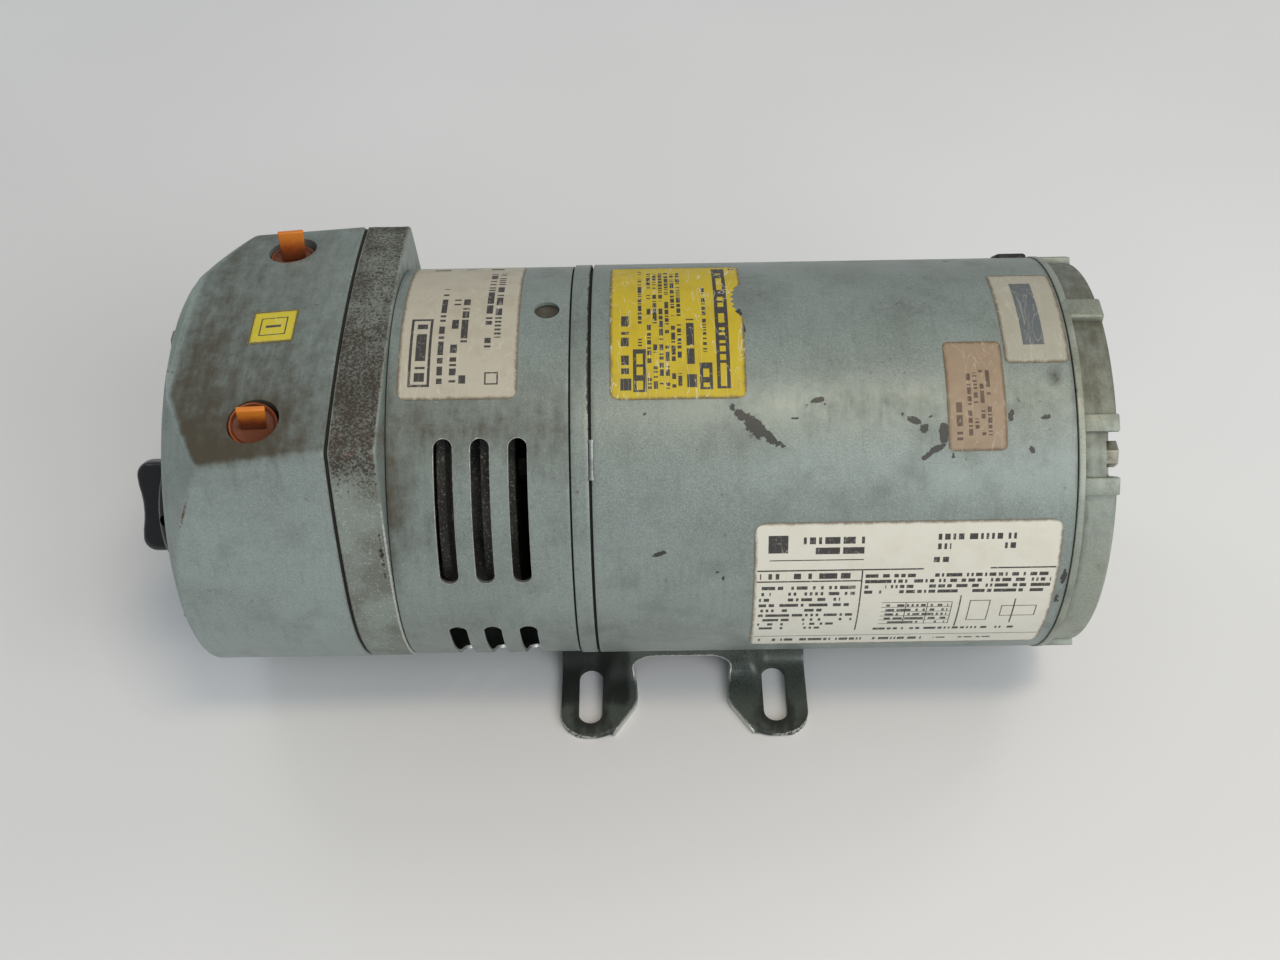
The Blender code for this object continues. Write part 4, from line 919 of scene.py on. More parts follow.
def muffler_cover(enamel):
    wall = 5.0
    rings = []
    for rear, front in zip(section(), section(fall=TOP_FALL)):
        rear, front = Vector(rear), Vector(front)
        kink = CONE_START[0]
        for _ in range(5):
            kink = kink_at(rear.lerp(front, top_share(kink)).length)
        radius = rear.lerp(front, top_share(kink)).length
        inner = [(COVER_FRONT + wall, 1.0), (COVER_FRONT + wall, 60.0)]
        inner += [(COVER_FRONT + 11, radius - 9.0), (COVER_REAR, radius - wall)]
        ring = []
        for x, r in inner + cover_profile(radius):
            spot = rear.lerp(front, top_share(max(x, kink))) * (r / radius)
            ring.append((x, spot.x, spot.y))
        rings.append(ring)
    cover = linked(grid(rings, wrap_rings=True))
    drills = []
    for x, y in PORTS:
        point, turn = surface_of_top(x, y)
        drills.append(placed(rod(PORT_RADIUS, 30, 72), point, turn.to_euler()))
    combine(cover, drills)
    finish_piece(cover, "cover_casting", enamel, ["muffler_cover"], 40)
    paint_cover(cover)


def paint_cover(cover):
    """Film on the crowned top: a painted shade that darkens the whole crown, and oily dirt darkest along the
    near fold, round the ports and the kink.
    """
    x, y, z = local(cover).T
    outline = np.array(section(fall=0.75 * TOP_FALL))
    around = np.degrees(np.arctan2(outline[:, 1], outline[:, 0]))
    order = np.argsort(around)
    reach = np.interp(np.degrees(np.arctan2(z, y)), around[order], np.hypot(*outline.T)[order], period=360)
    kink = np.maximum(CONE_START[0] + (reach - CONE_START[1]) / CONE_SLOPE, CONE_START[0])
    from_kink = x - kink
    fold = FOLD_Y + 0.4 * TOP_FALL * np.clip((COVER_REAR - x) / (COVER_REAR - COVER_FRONT), 0, 1)
    from_fold = y + fold
    top = np.clip((fold - np.abs(y)) / 4.0 + 0.55, 0, 1) * (z > 40)
    toward_near = np.clip((20 - y) / 60, 0, 1)
    # the base level over the whole crown is painted shade that darkens the top
    film = 0.47 + 0.24 * toward_near + 0.16 * near(x, COVER_FRONT + 12, 16) * (from_kink > 0)
    film += 0.26 * near(from_fold, 0, 20) * np.clip((COVER_REAR - 2.5 - x) / 24, 0.15, 1)
    film -= 0.12 * np.clip((x - COVER_REAR + 18.5) / 14, 0, 1)
    for px, py in PORTS:
        gap = np.hypot(x - px - 2, y - py)
        film = np.maximum(film, (0.86 if py < 0 else 0.55) * np.clip(1 - (gap - 8.0) / 15.0, 0, 1))
    grime_and_shade = film * np.clip(from_kink / 3.0 + 0.5, 0.25, 1) * top
    below = near(from_fold, -1.5, 6.0) * (from_fold < 0) * (z > 30)
    below = 0.36 * below * (from_kink > 2) * np.clip((COVER_REAR + 1.5 - x) / 30, 0.3, 1)
    seam = 0.45 * near(x, COVER_REAR, 1.4)
    attribute(cover, "grime_and_shade", np.maximum.reduce([grime_and_shade, below, seam, 0.20 * near(z, -46, 14) * (y < 0)]))
    low = np.clip((62 - z) / 6, 0, 1)
    wear = 0.55 * near(from_kink, 0.0, 0.9) * low * (z > -50) * (np.hypot(y, z) > 60)
    wear = np.maximum(wear, 0.62 * near(x, COVER_REAR - 0.3, 0.8) * (y < 30))
    attribute(cover, "wear", wear)
    attribute(cover, "rust", 0.85 * near(from_kink, 0.6, 1.3) * near(z, 44, 14) * (y < 0))


def end_housing(casting, enamel):
    """Sand-cast side with a smooth painted rear face."""
    rings = []
    for y, z in section():
        radius, angle = math.hypot(y, z), math.atan2(z, y)
        line = [(HOUSING_REAR, 22.0), (HOUSING_REAR, radius), (HOUSING_FRONT, radius), (HOUSING_FRONT, 22.0)]
        line = rounded(line, [0, 1.1, 0.7, 0], steps=3)
        outline = [line[0], (HOUSING_REAR, radius - 8.0), (HOUSING_REAR, radius - 4.0)] + line[4:8]
        steps = 15
        start, end = Vector(line[7]), Vector(line[8])
        outline += [tuple(start.lerp(end, k / steps)) for k in range(1, steps)]
        outline += line[8:12] + [line[-1]]
        rings.append([(x, r * math.cos(angle), r * math.sin(angle)) for x, r in outline])
    housing = linked(grid(rings, wrap_rings=True))
    finish_piece(housing, "housing_casting", casting, ["end_housing"], 50)
    mesh = housing.data
    mesh.materials.append(enamel)
    for face in mesh.polygons:
        if face.normal.x > 0.9:
            face.material_index = 1
    p = local(housing)
    x, y, z = p.T
    radius = np.hypot(y, z)
    rough = (x > HOUSING_FRONT + 0.5) & (x < HOUSING_REAR - 0.5)
    for vert, lumpy, point in zip(mesh.vertices, rough, p):
        if lumpy:
            v = Vector(point)
            height = 0.16 * noise.noise(v * 0.45) + 0.12 * noise.noise(v * 1.1) - 0.12
            vert.co += Vector((0, point[1], point[2])).normalized() * height * MM
    degrees = np.degrees(np.arctan2(z, y)) % 360
    belt = 0.74 + 0.26 * near(degrees, 122, 30)
    side = np.clip((degrees - 135) / 10, 0, 1) * (degrees < 270)
    grime_and_shade = np.where(degrees < 270, belt * (1 - 0.92 * side), 0.3)
    attribute(housing, "grime_and_shade", np.where(rough, grime_and_shade, 0.25 + 0.3 * near(radius, 72.5, 3.0)))
    outside = radius > 60
    wear = 0.80 * near(x, HOUSING_REAR - 0.4, 1.2) * np.clip((75 - z) / 40, 0.1, 1)
    attribute(housing, "wear", wear * outside)
    attribute(housing, "chip_and_shade", 0.72 * near(x, HOUSING_REAR - 2.2, 2.0) * near(degrees, 158, 34) * outside)
    attribute(housing, "rust", 0.5 * near(degrees, 128, 20))


# ---------------------------------------------------------------- plugs and knob


def port_plugs(material):
    """Sunken caps, tipped towards the near side, each with a raised lip and an upright pull tab."""
    names = ("exhaust_port_plug", "intake_port_plug")
    turns = (11, 6)
    leans = (3, 5)
    tilts = (4.0, 12.0)
    lip = [
        (0, -3.2), (6.5, -3.2), (7.0, -2.3), (7.6, -1.9), (8.05, -2.4), (8.0, -3.6), (7.5, -4.8),
        (7.0, -9.0), (0, -9.0),
    ]
    lip = rounded(lip, [0, 0.4, 0.4, 0.35, 0.3, 0.3, 0.4, 0.4, 0], steps=3)
    for name, (x, y), turn, lean, tilt in zip(names, PORTS, turns, leans, tilts):
        point, surface = surface_of_top(x, y)
        spin = Matrix.Rotation(math.radians(turn), 3, "Z")
        roll = Matrix.Rotation(math.radians(7 if y < 0 else 2), 3, "Y")
        pose = surface @ Matrix.Rotation(math.radians(tilt), 3, "X") @ roll @ spin
        centre = point + surface @ Vector((-0.25, 0, -0.5))
        plug = linked(placed(turned(lip, 5), centre, pose.to_euler()))
        tab = block((8.8, 1.9, 11.4), 0.5, 4)
        for vert in tab.vertices:
            vert.co.z += 2.1
            vert.co.x *= 1 + 0.008 * (vert.co.z - 4)
        tilt_tab = surface @ Matrix.Rotation(math.radians(lean), 3, "X") @ roll @ spin
        combine(plug, [placed(tab, point, tilt_tab.to_euler())], "UNION")
        finish_piece(plug, name + "_cap", material, [name], 50)
        u, v, height = ((local(plug) - np.array(point)) @ np.array(pose)).T
        # low on the cap, where it sits sunk in the port, it is painted darker: oil browning and painted
        # shade; the lip is spared some of it
        low = np.clip(1 - (height + 1.4) / 1.8, 0, 1)
        lip_ring = near(np.hypot(u, v), 7.6, 0.6) * (height > -2.6)
        lip_spared, rubbed = (0.75, 0.5) if y < 0 else (0.2, 0.1)
        attribute(plug, "grime_and_shade", low * (1 - lip_spared * lip_ring))
        rim = np.clip(near(np.abs(u), 4.5, 0.7) + near(height, 7.6, 0.8), 0, 1) * (height > 0.5)
        attribute(plug, "wear", np.maximum(rim, rubbed * lip_ring))


def knob(material):
    """Moulded knob: round skirt and a bar with two ears, its outer edge dished between them."""
    bar_foot = 5.0
    height = KNOB_BACK - KNOB_FRONT
    skirt = [(0, 0.4), (17.6, 0.4), (20.0, 0.4), (20.1, 1.6), (19.7, 4.0), (17.0, 5.3), (0, 5.8)]
    skirt = rounded(skirt, [0, 1, 0.6, 0.8, 1.4, 2.0, 0], steps=3)
    # the bar's outline: half length, height, then the ears' roundings and the dish
    half, ear, dish = 15.9, 4.6, 1.2
    outline = [(-half, bar_foot - 3), (half, bar_foot - 3)]
    outline += arc((half - ear, height - ear), ear, 0, 90, 8)
    outline += [(u, height - dish * (1 - (u / 9) ** 2)) for u in (8, 5, 2, -2, -5, -8)]
    outline += arc((-half + ear, height - ear), ear, 90, 180, 8)
    width = 4.6
    inset = 2.4
    layers = []
    for k in range(17):
        turn = math.pi * k / 16
        side = -width * math.cos(turn)
        shrink = inset * (1 - math.sqrt(max(1 - (abs(side) / (width + 0.01)) ** 4, 0)))
        layers.append([(u * (1 - shrink / half), side, h - shrink * (h > bar_foot)) for u, h in outline])
    across = math.radians(KNOB_ANGLE)
    along = Vector((0, math.cos(across), math.sin(across)))
    out = Vector((-1, 0, 0))
    pose = Matrix((along, out.cross(along), out)).transposed()
    place = Vector((KNOB_BACK, *KNOB_CENTRE))
    shape = linked(placed(turned(skirt, 4), place, pose.to_euler()))
    combine(shape, [placed(own_units(grid(layers)), place, pose.to_euler())], "UNION")
    remesh = shape.modifiers.new("remesh", "REMESH")
    remesh.mode = "VOXEL"
    remesh.voxel_size = 0.4 * MM
    smooth = shape.modifiers.new("smooth", "SMOOTH")
    smooth.factor = 0.5
    smooth.iterations = 6
    applied(shape)
    side = along.cross(out)
    screw = Vector((KNOB_BACK - 2.6, *KNOB_CENTRE)) + side * 11
    combine(shape, [placed(rod(1.8, 20, 32), screw, side.to_track_quat("Z", "Y").to_euler())])
    finish_piece(shape, "knob_moulding", material, ["ballast_knob"], 60, "valve_knob")


# ---------------------------------------------------------------- shroud, band and shell


def wrapped_slot(x, start, end, radius):
    """Cutter for a round-ended slot between two angles on a cylinder."""
    half = SHROUD_SLOT_HALF
    length = math.radians(end - start) * radius
    stations = [half * (1 - math.cos(a)) for a in np.linspace(0.12, math.pi / 2, 8)]
    stations += list(np.linspace(half, length - half, 20)[1:-1])
    stations += [length - s for s in reversed(stations[:8])]
    rings = []
    for s in stations:
        edge = min(s, length - s)
        width = math.sqrt(max(half**2 - max(half - edge, 0) ** 2, 0))
        degrees = start + math.degrees(s / radius)
        corners = ((-width, -5), (width, -5), (width, 5), (-width, 5))
        rings.append([polar(x + dx, radius + dr, degrees) for dx, dr in corners])
    return grid(rings)


def slot_distance(x, degrees):
    """Distance in millimetres from the nearest slot's edge, negative inside it."""
    nearest = np.full_like(x, 99.0)
    for centre in SHROUD_SLOTS:
        for start, end in SHROUD_SLOT_ANGLES:
            middle = (start + end) / 2
            turn = (degrees - middle + 180) % 360 - 180
            s = np.radians(turn) * SHROUD_RADIUS
            reach = math.radians(end - start) * SHROUD_RADIUS / 2 - SHROUD_SLOT_HALF
            gap = np.hypot(x - centre, np.maximum(np.abs(s) - reach, 0)) - SHROUD_SLOT_HALF
            nearest = np.minimum(nearest, gap)
    return nearest


def fan_shroud(enamel):
    shroud = linked(tube(SHROUD_FRONT, SHROUD_REAR, SHROUD_RADIUS, 1.2, 0.3, 1.1, 320))
    cutters = []
    for x in SHROUD_SLOTS:
        cutters += [wrapped_slot(x, start, end, SHROUD_RADIUS) for start, end in SHROUD_SLOT_ANGLES]
    x, degrees, radius = SHROUD_HOLE
    cutters.append(placed(rod(radius, 8, 48), *outward(x, SHROUD_RADIUS, degrees)))
    for x, degrees in SHROUD_SCREWS:
        cutters.append(placed(rod(2.2, 8, 32), *outward(x, SHROUD_RADIUS, degrees)))
    combine(shroud, cutters)
    finish_piece(shroud, "shroud_tube", enamel, ["fan_shroud"], 40)
    x, around, radius = cylindrical(shroud)
    gap = slot_distance(x, around)
    attribute(shroud, "wear", np.where(radius < SHROUD_RADIUS - 0.1, 0.95, 0.80) * near(gap, 0.0, 0.6))
    belt = near(around, 126, 30) * 0.62
    front = 0.86 * near(x, SHROUD_FRONT, 22.0) * np.clip(1 - np.abs(around - 140) / 60, 0.2, 1)
    between = 0.50 * near(x, SHROUD_FRONT + 13.7, 16) * near(around, 150, 28)
    low = 0.30 * near(around, 186, 14)
    rear = 0.38 * near(x, SHROUD_REAR, 13.0) * near(around, 138, 52)
    grime_and_shade = np.maximum.reduce([belt, front, between, low, rear, 0.25 * near(gap, 0.6, 2.0)])
    attribute(shroud, "grime_and_shade", grime_and_shade)
    attribute(shroud, "rust", 0.32 * near(x, SHROUD_REAR, 0.9) + 0.3 * near(x, SHROUD_FRONT, 1.6))


def bracket_band(enamel):
    """Band between shroud and shell, with a lower register on both sides and the bracket's web."""
    front, rear = BAND_FRONT + 0.3, BAND_REAR - 0.6
    low, inner = 68.8, 66.9
    register_rear, seat, hub, web = BAND_REAR + 2.8, BAND_FRONT + 2.5, BAND_FRONT + 13, BAND_FRONT + 4
    line = [
        (register_rear, inner), (register_rear, low), (rear, low), (rear, BAND_RADIUS),
        (front, BAND_RADIUS), (front, low), (REGISTER_FRONT, low), (REGISTER_FRONT, inner),
        (BAND_FRONT + 1.6, 66.0), (BAND_FRONT, 20.0), (BAND_FRONT, 8.6), (seat, 8.6),
        (seat, 16.3), (hub, 16.3), (hub, 20.0), (web, 21.0), (web, 66.0),
    ]
    band = linked(lathe(refined(rounded(line, 0.35, 2), 1.4), 256))
    combine(band, [bore(BAND_FRONT + 3, 42.0, 33.0 + 60 * i, 9, 12, 40) for i in range(6)])
    finish_piece(band, "bracket_band", enamel, ["motor_front_bracket"], 40)
    x, degrees, radius = cylindrical(band)
    outside = radius > BAND_RADIUS - 0.6
    # the register seen through the seams is painted as dark primer and heavy grime: painted shade in the
    # gaps
    seam_shade = (radius > 68.4) & ~outside & (x > BAND_FRONT - 2)
    upper = np.clip((140 - degrees) / 20, 0, 1)
    attribute(band, "grime_and_shade", np.where(outside, 0.18 + 0.2 * near(degrees, 100, 40), 0.85))
    attribute(band, "rust", 0.35 * near(x, front, 0.7) * outside)
    chip_and_shade = 0.66 * near(x, rear, 1.6) * (0.25 + 0.75 * upper)
    attribute(band, "chip_and_shade", np.where(outside, chip_and_shade, 1.0 * seam_shade))
    attribute(band, "wear", np.where(outside, 0.3 * near(x, rear, 0.5), 0.0))


def motor_shell(enamel):
    shell = linked(tube(SHELL_FRONT, SHELL_REAR, SHELL_RADIUS, 1.8, 0.35, 1.15, 400))
    notch = block((17, 12, 8), 0.8, 2)
    combine(shell, [placed(notch, *outward(SHELL_REAR - 3, SHELL_RADIUS, 46))])
    finish_piece(shell, "shell_tube", enamel, ["motor_shell"], 40)
    x, degrees, _ = cylindrical(shell)
    s = np.radians(degrees) * SHELL_RADIUS
    attribute(shell, "chip_and_shade", scrapes(x, s))
    haze = near(degrees, 122, 18) * np.clip((x - 20) / 24, 0.1, 1)
    seams = 0.30 * near(x, SHELL_FRONT, 1.2) + 0.55 * near(x, SHELL_REAR, 2.0)
    stain = 0.75 * np.clip(1 - np.hypot(x - SHELL_REAR + 6.1, (s - 141) / 1.4) / 5, 0, 1)
    low = 0.26 * near(degrees, 190, 16) * near(x, 0, 34)
    attribute(shell, "grime_and_shade", np.maximum.reduce([0.36 * haze, seams, stain, low]))
    front_edge = near(x, SHELL_FRONT, 0.6) * (degrees > 140)
    attribute(shell, "wear", 0.62 * near(x, SHELL_REAR, 0.7) + 0.5 * front_edge)
    attribute(shell, "rust", 0.32 * near(x, SHELL_FRONT, 0.7) + 0.3 * near(x, SHELL_REAR, 1.2))


# scrapes through the enamel: x and degrees, half sizes along x and round the shell, and tilt
CHIPS = [
    (15.8, 121.0, 1.0, 1.4, 0), (18.4, 123.0, 2.4, 1.5, 40), (23.0, 126.0, 5.4, 2.4, 48),
    (28.0, 129.2, 3.6, 1.3, 52), (31.5, 131.0, 2.4, 0.8, 30), (36.8, 124.4, 2.2, 0.5, 20),
    (40.5, 121.0, 1.3, 0.7, 0), (43.8, 119.3, 2.4, 0.9, -12), (46.2, 120.4, 0.6, 0.5, 0),
    (71.0, 123.6, 1.0, 0.6, 30), (74.6, 125.2, 2.9, 1.2, 28), (77.8, 127.3, 1.6, 1.5, 0),
    (80.2, 124.3, 0.8, 0.6, 0), (84.0, 128.5, 1.6, 3.6, 0), (82.0, 132.6, 2.6, 1.1, -20),
    (78.2, 134.8, 1.8, 0.8, -30), (86.8, 134.6, 1.2, 0.6, 40), (105.8, 124.5, 1.0, 2.2, 10),
    (117.3, 124.8, 2.1, 0.8, -6), (112.3, 133.4, 0.8, 1.4, -25), (18.8, 92.0, 1.7, 3.0, 12),
    (19.4, 97.0, 1.7, 4.2, -8), (125.6, 170.0, 1.0, 3.4, 5), (124.9, 178.0, 0.9, 2.2, -8),
    (-12.5, 122.5, 0.7, 0.5, 0), (-8.2, 160.3, 2.6, 0.9, -18), (10.6, 166.4, 0.7, 0.4, 0),
    (12.6, 168.6, 0.5, 1.3, 20), (60.0, 147.0, 0.7, 0.5, 0), (95.0, 60.0, 1.6, 0.8, 20),
    (52.0, 28.0, 2.0, 1.0, -30), (8.0, 341.0, 1.4, 0.8, 25), (98.0, 300.0, 2.2, 0.9, 10),
    (64.0, 222.0, 1.5, 0.7, -20),
]


def scrapes(x, arc_length):
    """Height field of the scrapes, over 0.5 inside each oval."""
    field = np.zeros_like(x)
    for centre, degrees, half_x, half_s, tilt in CHIPS:
        c, s = math.cos(math.radians(tilt)), math.sin(math.radians(tilt))
        dx, ds = x - centre, arc_length - math.radians(degrees) * SHELL_RADIUS
        field = np.maximum(field, 1 - 0.5 * np.hypot((dx * c + ds * s) / half_x, (ds * c - dx * s) / half_s))
    return field


def seam_clip(metal):
    """Bright spring clip in the seam between the band and the shell."""
    first, last = 129, 139.5
    rings = []
    for degrees in np.linspace(first, last, 24):
        end = min(degrees - first, last - degrees)
        swell = 1.0 + 0.5 * max(0, 1 - end / 1.2)
        ring = []
        for a in np.radians(range(0, 360, 36)):
            x = BAND_REAR + 0.3 + 0.72 * swell * math.cos(a)
            ring.append(polar(x, BAND_RADIUS + 0.2 + 0.5 * math.sin(a), degrees))
        rings.append(ring)
    finish_piece(linked(grid(rings)), "seam_clip", metal)


def lead_grommet(rubber):
    x0, x1 = span("lead_grommet")
    point, turn = outward((x0 + x1) / 2, SHELL_RADIUS - 0.3, 46)
    obj = linked(placed(block((x1 - x0, 11.2, 3.4), 1.2, 4), point, turn))
    combine(obj, [placed(rod(3.0, 12, 40), point, turn)])
    finish_piece(obj, "grommet_moulding", rubber, ["lead_grommet"], 50)


def rear_bell(olive):
    """End bell: rim, cylindrical wall, face with vents, bolt pockets between stamped lugs."""
    end = BELL_REAR
    line = [
        (end, 0.5), (end, BELL_WALL - 2.4), (end - 0.4, BELL_WALL), (BELL_RIM, BELL_WALL),
        (BELL_RIM, 71.4), (BELL_FRONT, 71.4), (BELL_FRONT, 66), (end - 6, 64), (end - 5, 20),
        (end - 21, 20), (end - 21, 16.3), (end - 7.4, 16.3), (end - 7.4, 0.5),
    ]
    radii = [0, 2.2, 2.0, 0.6, 0.4, 0.3, 0.5, 1, 1, 0.4, 0.4, 0.4, 0]
    bell = linked(lathe(refined(rounded(line, radii, 3), 2.5), 288))
    lugs = []
    for degrees in THROUGH_BOLTS:
        for side in (-8.4, 8.4):
            lug = block((11.4, 5.8, 6), 0.5, 2)
            lugs.append(placed(lug, *outward(end - 5.8, 68.1, degrees + side)))
    lugs.append(placed(block((12, 9, 5.2), 1.1, 4), *outward(end - 6.2, BELL_WALL, 91.7)))
    combine(bell, lugs, "UNION")
    cuts = []
    for degrees in THROUGH_BOLTS:
        cuts.append(placed(block((10, 14.6, 22), 0.8, 3), *outward(end + 0.8, BOLT_CIRCLE + 5, degrees)))
        cuts.append(bore(end - 9, BOLT_CIRCLE, degrees, 2.9, 14, 32))
    cuts += [bore(end - 2, 40.0, 22.5 + 45 * i, 5, 10, 40) for i in range(8)]
    combine(bell, cuts)
    finish_piece(bell, "end_bell_casting", olive, ["rear_end_bell"], 38)
    x, degrees, radius = cylindrical(bell)
    top = near(degrees, 92, 42) * np.clip(radius / 60, 0, 1)
    side = np.minimum((170 - degrees) / 40, degrees / 40).clip(0, 1) * np.clip(radius / 60, 0, 1)
    grime_and_shade = np.maximum(0.62 * near(x, BELL_RIM + 0.5, 2.4), 0.10 + 0.42 * side + 0.14 * top)
    attribute(bell, "grime_and_shade", np.where(radius > 70.6, 0.3 * side, grime_and_shade) * (x > BELL_RIM))
    wear = 0.40 * np.clip((radius - 70.7) / 0.4, 0, 1) * (x > BELL_RIM + 0.3)
    attribute(bell, "wear", np.maximum(wear, 0.34 * near(x, end, 0.5) * (radius > 60)))
    attribute(bell, "rust", 0.3 * near(x, BELL_FRONT, 0.8))


def base_outline(bend, wrap, count=300):
    """The base seen along the shaft: saddle round to wrap degrees, legs to bend, feet."""
    inner = SHELL_RADIUS + 0.5
    leg = [
        (-bend, FLOOR + BASE_SHEET), (-BASE_EDGE, FLOOR + BASE_SHEET),
        (-BASE_EDGE, FLOOR), (-bend + 2, FLOOR),
    ]
    saddle = arc((0, 0), inner, 540 - wrap, wrap, 40)
    under = arc((0, 0), inner + BASE_SHEET, wrap + 3, 537 - wrap, 40)
    line = saddle + leg + under + [(-y, z) for y, z in reversed(leg)]
    radii = [0.3] * len(saddle) + [5.5, 0.6, 0.6, 6.0] + [0.3] * len(under) + [6.0, 0.6, 0.6, 5.5]
    line = np.array(rounded(line, radii, 5))
    line = np.vstack([line, line[:1]])
    run = np.concatenate([[0], np.cumsum(np.hypot(*np.diff(line, axis=0).T))])
    places = np.linspace(0, run[-1], count, endpoint=False)
    return np.stack([np.interp(places, run, line[:, 0]), np.interp(places, run, line[:, 1])], -1)


def mounting_base(paint):
    """Stamped sheet: saddle, legs that stand further out between the feet, and slotted feet."""
    pocketed = base_outline(39.0, 240)
    bulged = base_outline(44.5, 235)
    rings = []
    stations = np.linspace(BASE_FRONT, BASE_REAR, 76)
    for x in stations:
        share = np.clip((33 - abs(x)) / 11, 0, 1)
        share = share * share * (3 - 2 * share)
        line = pocketed * (1 - share) + bulged * share
        rings.append([(x, y, z) for y, z in line])
    base = linked(grid(rings))
    corner_radius = 10
    slot_half, slot_reach = 4.5, 8.5
    leg_top = FLOOR + 11.0
    half_window = 17.8
    half_opening = [(half_window, FLOOR - 3), (half_window, FLOOR + 2.0)]
    half_opening += [(19.0, leg_top - 3.6), (13.4, leg_top)]
    opening = [(-x, z) for x, z in half_opening] + half_opening[::-1]
    opening = rounded(opening, [0.1, 4, 4, 6, 6, 4, 4, 0.1], 8)
    half_arch = [(29, 76), (17.0, 57.5), (17.2, 51), (half_window, 45), (half_window, 38)]
    arch = [(-x, y) for x, y in half_arch] + half_arch[::-1]
    arch = rounded(arch, [1, 9, 9, 6, 1, 1, 6, 9, 9, 1], 8)
    cutters = []
    for side in (-1, 1):
        cutters.append([[(x, side * y, z) for x, z in opening] for y in (33, 46.5)])
        cutters.append([[(x, side * y, FLOOR + h) for x, y in arch] for h in (-3, 4.6)])
        for x, turn in ((BASE_FRONT, 1), (BASE_REAR, -1)):
            centre = (x + turn * corner_radius, BASE_EDGE - corner_radius)
            corner = [(x - turn, centre[1]), (x - turn, BASE_EDGE + 1), (centre[0], BASE_EDGE + 1)]
            start, end = (90, 180) if turn > 0 else (90, 0)
            corner += arc(centre, corner_radius, start, end, 14)
            cutters.append([[(u, side * v, FLOOR + h) for u, v in corner] for h in (-3, 5)])
        for x in (-SLOT_X, SLOT_X):
            slot = arc((x, SLOT_Y + slot_reach), slot_half, 0, 180, 20)
            slot += arc((x, SLOT_Y - slot_reach), slot_half, 180, 360, 20)
            cutters.append([[(u, side * v, FLOOR + h) for u, v in slot] for h in (-3, 6)])
    combine(base, [grid(rings) for rings in cutters])
    applied(soften(base, 0.6, 3, 50))
    finish_piece(base, "base_sheet", paint, ["mounting_base"], 38)
    x, y, z = local(base).T
    across = np.abs(y)
    in_foot = near(gap_to(x, across, arch), 0.0, 1.7) * (z < FLOOR + 6)
    in_leg = near(gap_to(x, z, opening), 0.0, 1.7) * (across < 50)
    window = np.maximum(in_foot, in_leg) * (across > 36)
    rim = near(across, BASE_EDGE, 0.7) * (z < FLOOR + 4)
    corner_gap = np.hypot(np.abs(x - 0.5) - 36.5, across - (BASE_EDGE - corner_radius)) - corner_radius
    rim = np.maximum(rim, near(corner_gap, 0.0, 0.7) * (across > 62) * (np.abs(x) > 36))
    attribute(base, "wear", np.maximum(0.95 * window, 0.66 * rim))
    slot_gap = np.hypot(np.abs(x) - SLOT_X, np.maximum(np.abs(across - SLOT_Y) - slot_reach, 0)) - slot_half
    dirt_and_shade = 0.25 + 0.45 * np.clip((across - 50) / 20, 0, 1) + 0.3 * near(slot_gap, 0, 4)
    dirt_and_shade *= np.clip((np.abs(x) - 19) / 8, 0.25, 1)
    # the left foot's inner part, under the motor, is dirty and in shadow: dirt and painted shadow
    dirt_and_shade = np.maximum(dirt_and_shade, 0.95 * np.clip((66 - across) / 10, 0, 1) * np.clip((-x - 16) / 6, 0, 1))
    attribute(base, "grime_and_shade", dirt_and_shade)
    attribute(base, "chip_and_shade", 0.40 * near(across, 68, 5) * (np.abs(x) > 30))


# ---------------------------------------------------------------- stage


def lamp(name, place, target, size, power, colour):
    data = bpy.data.lights.new(name, "AREA")
    data.shape = "RECTANGLE"
    data.size, data.size_y = size
    data.energy = power
    data.color = colour[:3]
    obj = linked(data, name)
    obj.location = place
    obj.rotation_euler = (Vector(target) - Vector(place)).to_track_quat("-Z", "Y").to_euler()


def camera():
    """The photograph's eye: above and in front, a little right of the middle, slightly rolled."""
    place, target = Vector((0.0118, -0.3895, 0.4808)), Vector((0.0079, 0.0, 0.0643))
    data = bpy.data.cameras.new("view")
    data.lens = 42.7
    data.sensor_width = 36.0
    obj = linked(data, "view")
    look = (target - place).to_track_quat("-Z", "Y")
    roll = Matrix.Rotation(math.radians(-1.34), 3, "Z")
    obj.matrix_world = Matrix.Translation(place) @ (look.to_matrix() @ roll).to_4x4()
    bpy.context.scene.camera = obj


def studio():
    bm = bmesh.new()
    bmesh.ops.create_grid(bm, x_segments=24, y_segments=24, size=3.0)
    floor = linked(mesh_of(bm), "floor")
    floor.data.materials.append(paper_floor("floor_paper"))
    bpy.context.scene.view_settings.view_transform = "Standard"
    world_settings = bpy.data.worlds.new("studio")
    bpy.context.scene.world = world_settings
    world_settings.use_nodes = True
    background = world_settings.node_tree.nodes["Background"]
    background.inputs["Color"].default_value = (0.90, 0.955, 1.0, 1.0)
    background.inputs["Strength"].default_value = 0.41
    centre = (0, 0, 0.05)
    lamp("warm_strip", (0.36, -0.43, 1.62), (0.07, 0, 0.08), (0.5, 0.2), 6.2, (1.0, 0.84, 0.62))
    lamp("front_window", (0.9, -1.1, 1.0), centre, (1.4, 1.0), 13.3, (0.985, 0.99, 1.0))
    lamp("back_left", (-0.9, 0.8, 1.3), centre, (0.5, 0.5), 1.3, (0.95, 0.98, 1.0))
    lamp("back_right", (1.0, 0.7, 1.3), centre, (0.5, 0.5), 2.0, (1.0, 0.97, 0.93))


# ---------------------------------------------------------------- putting it together

camera()
studio()

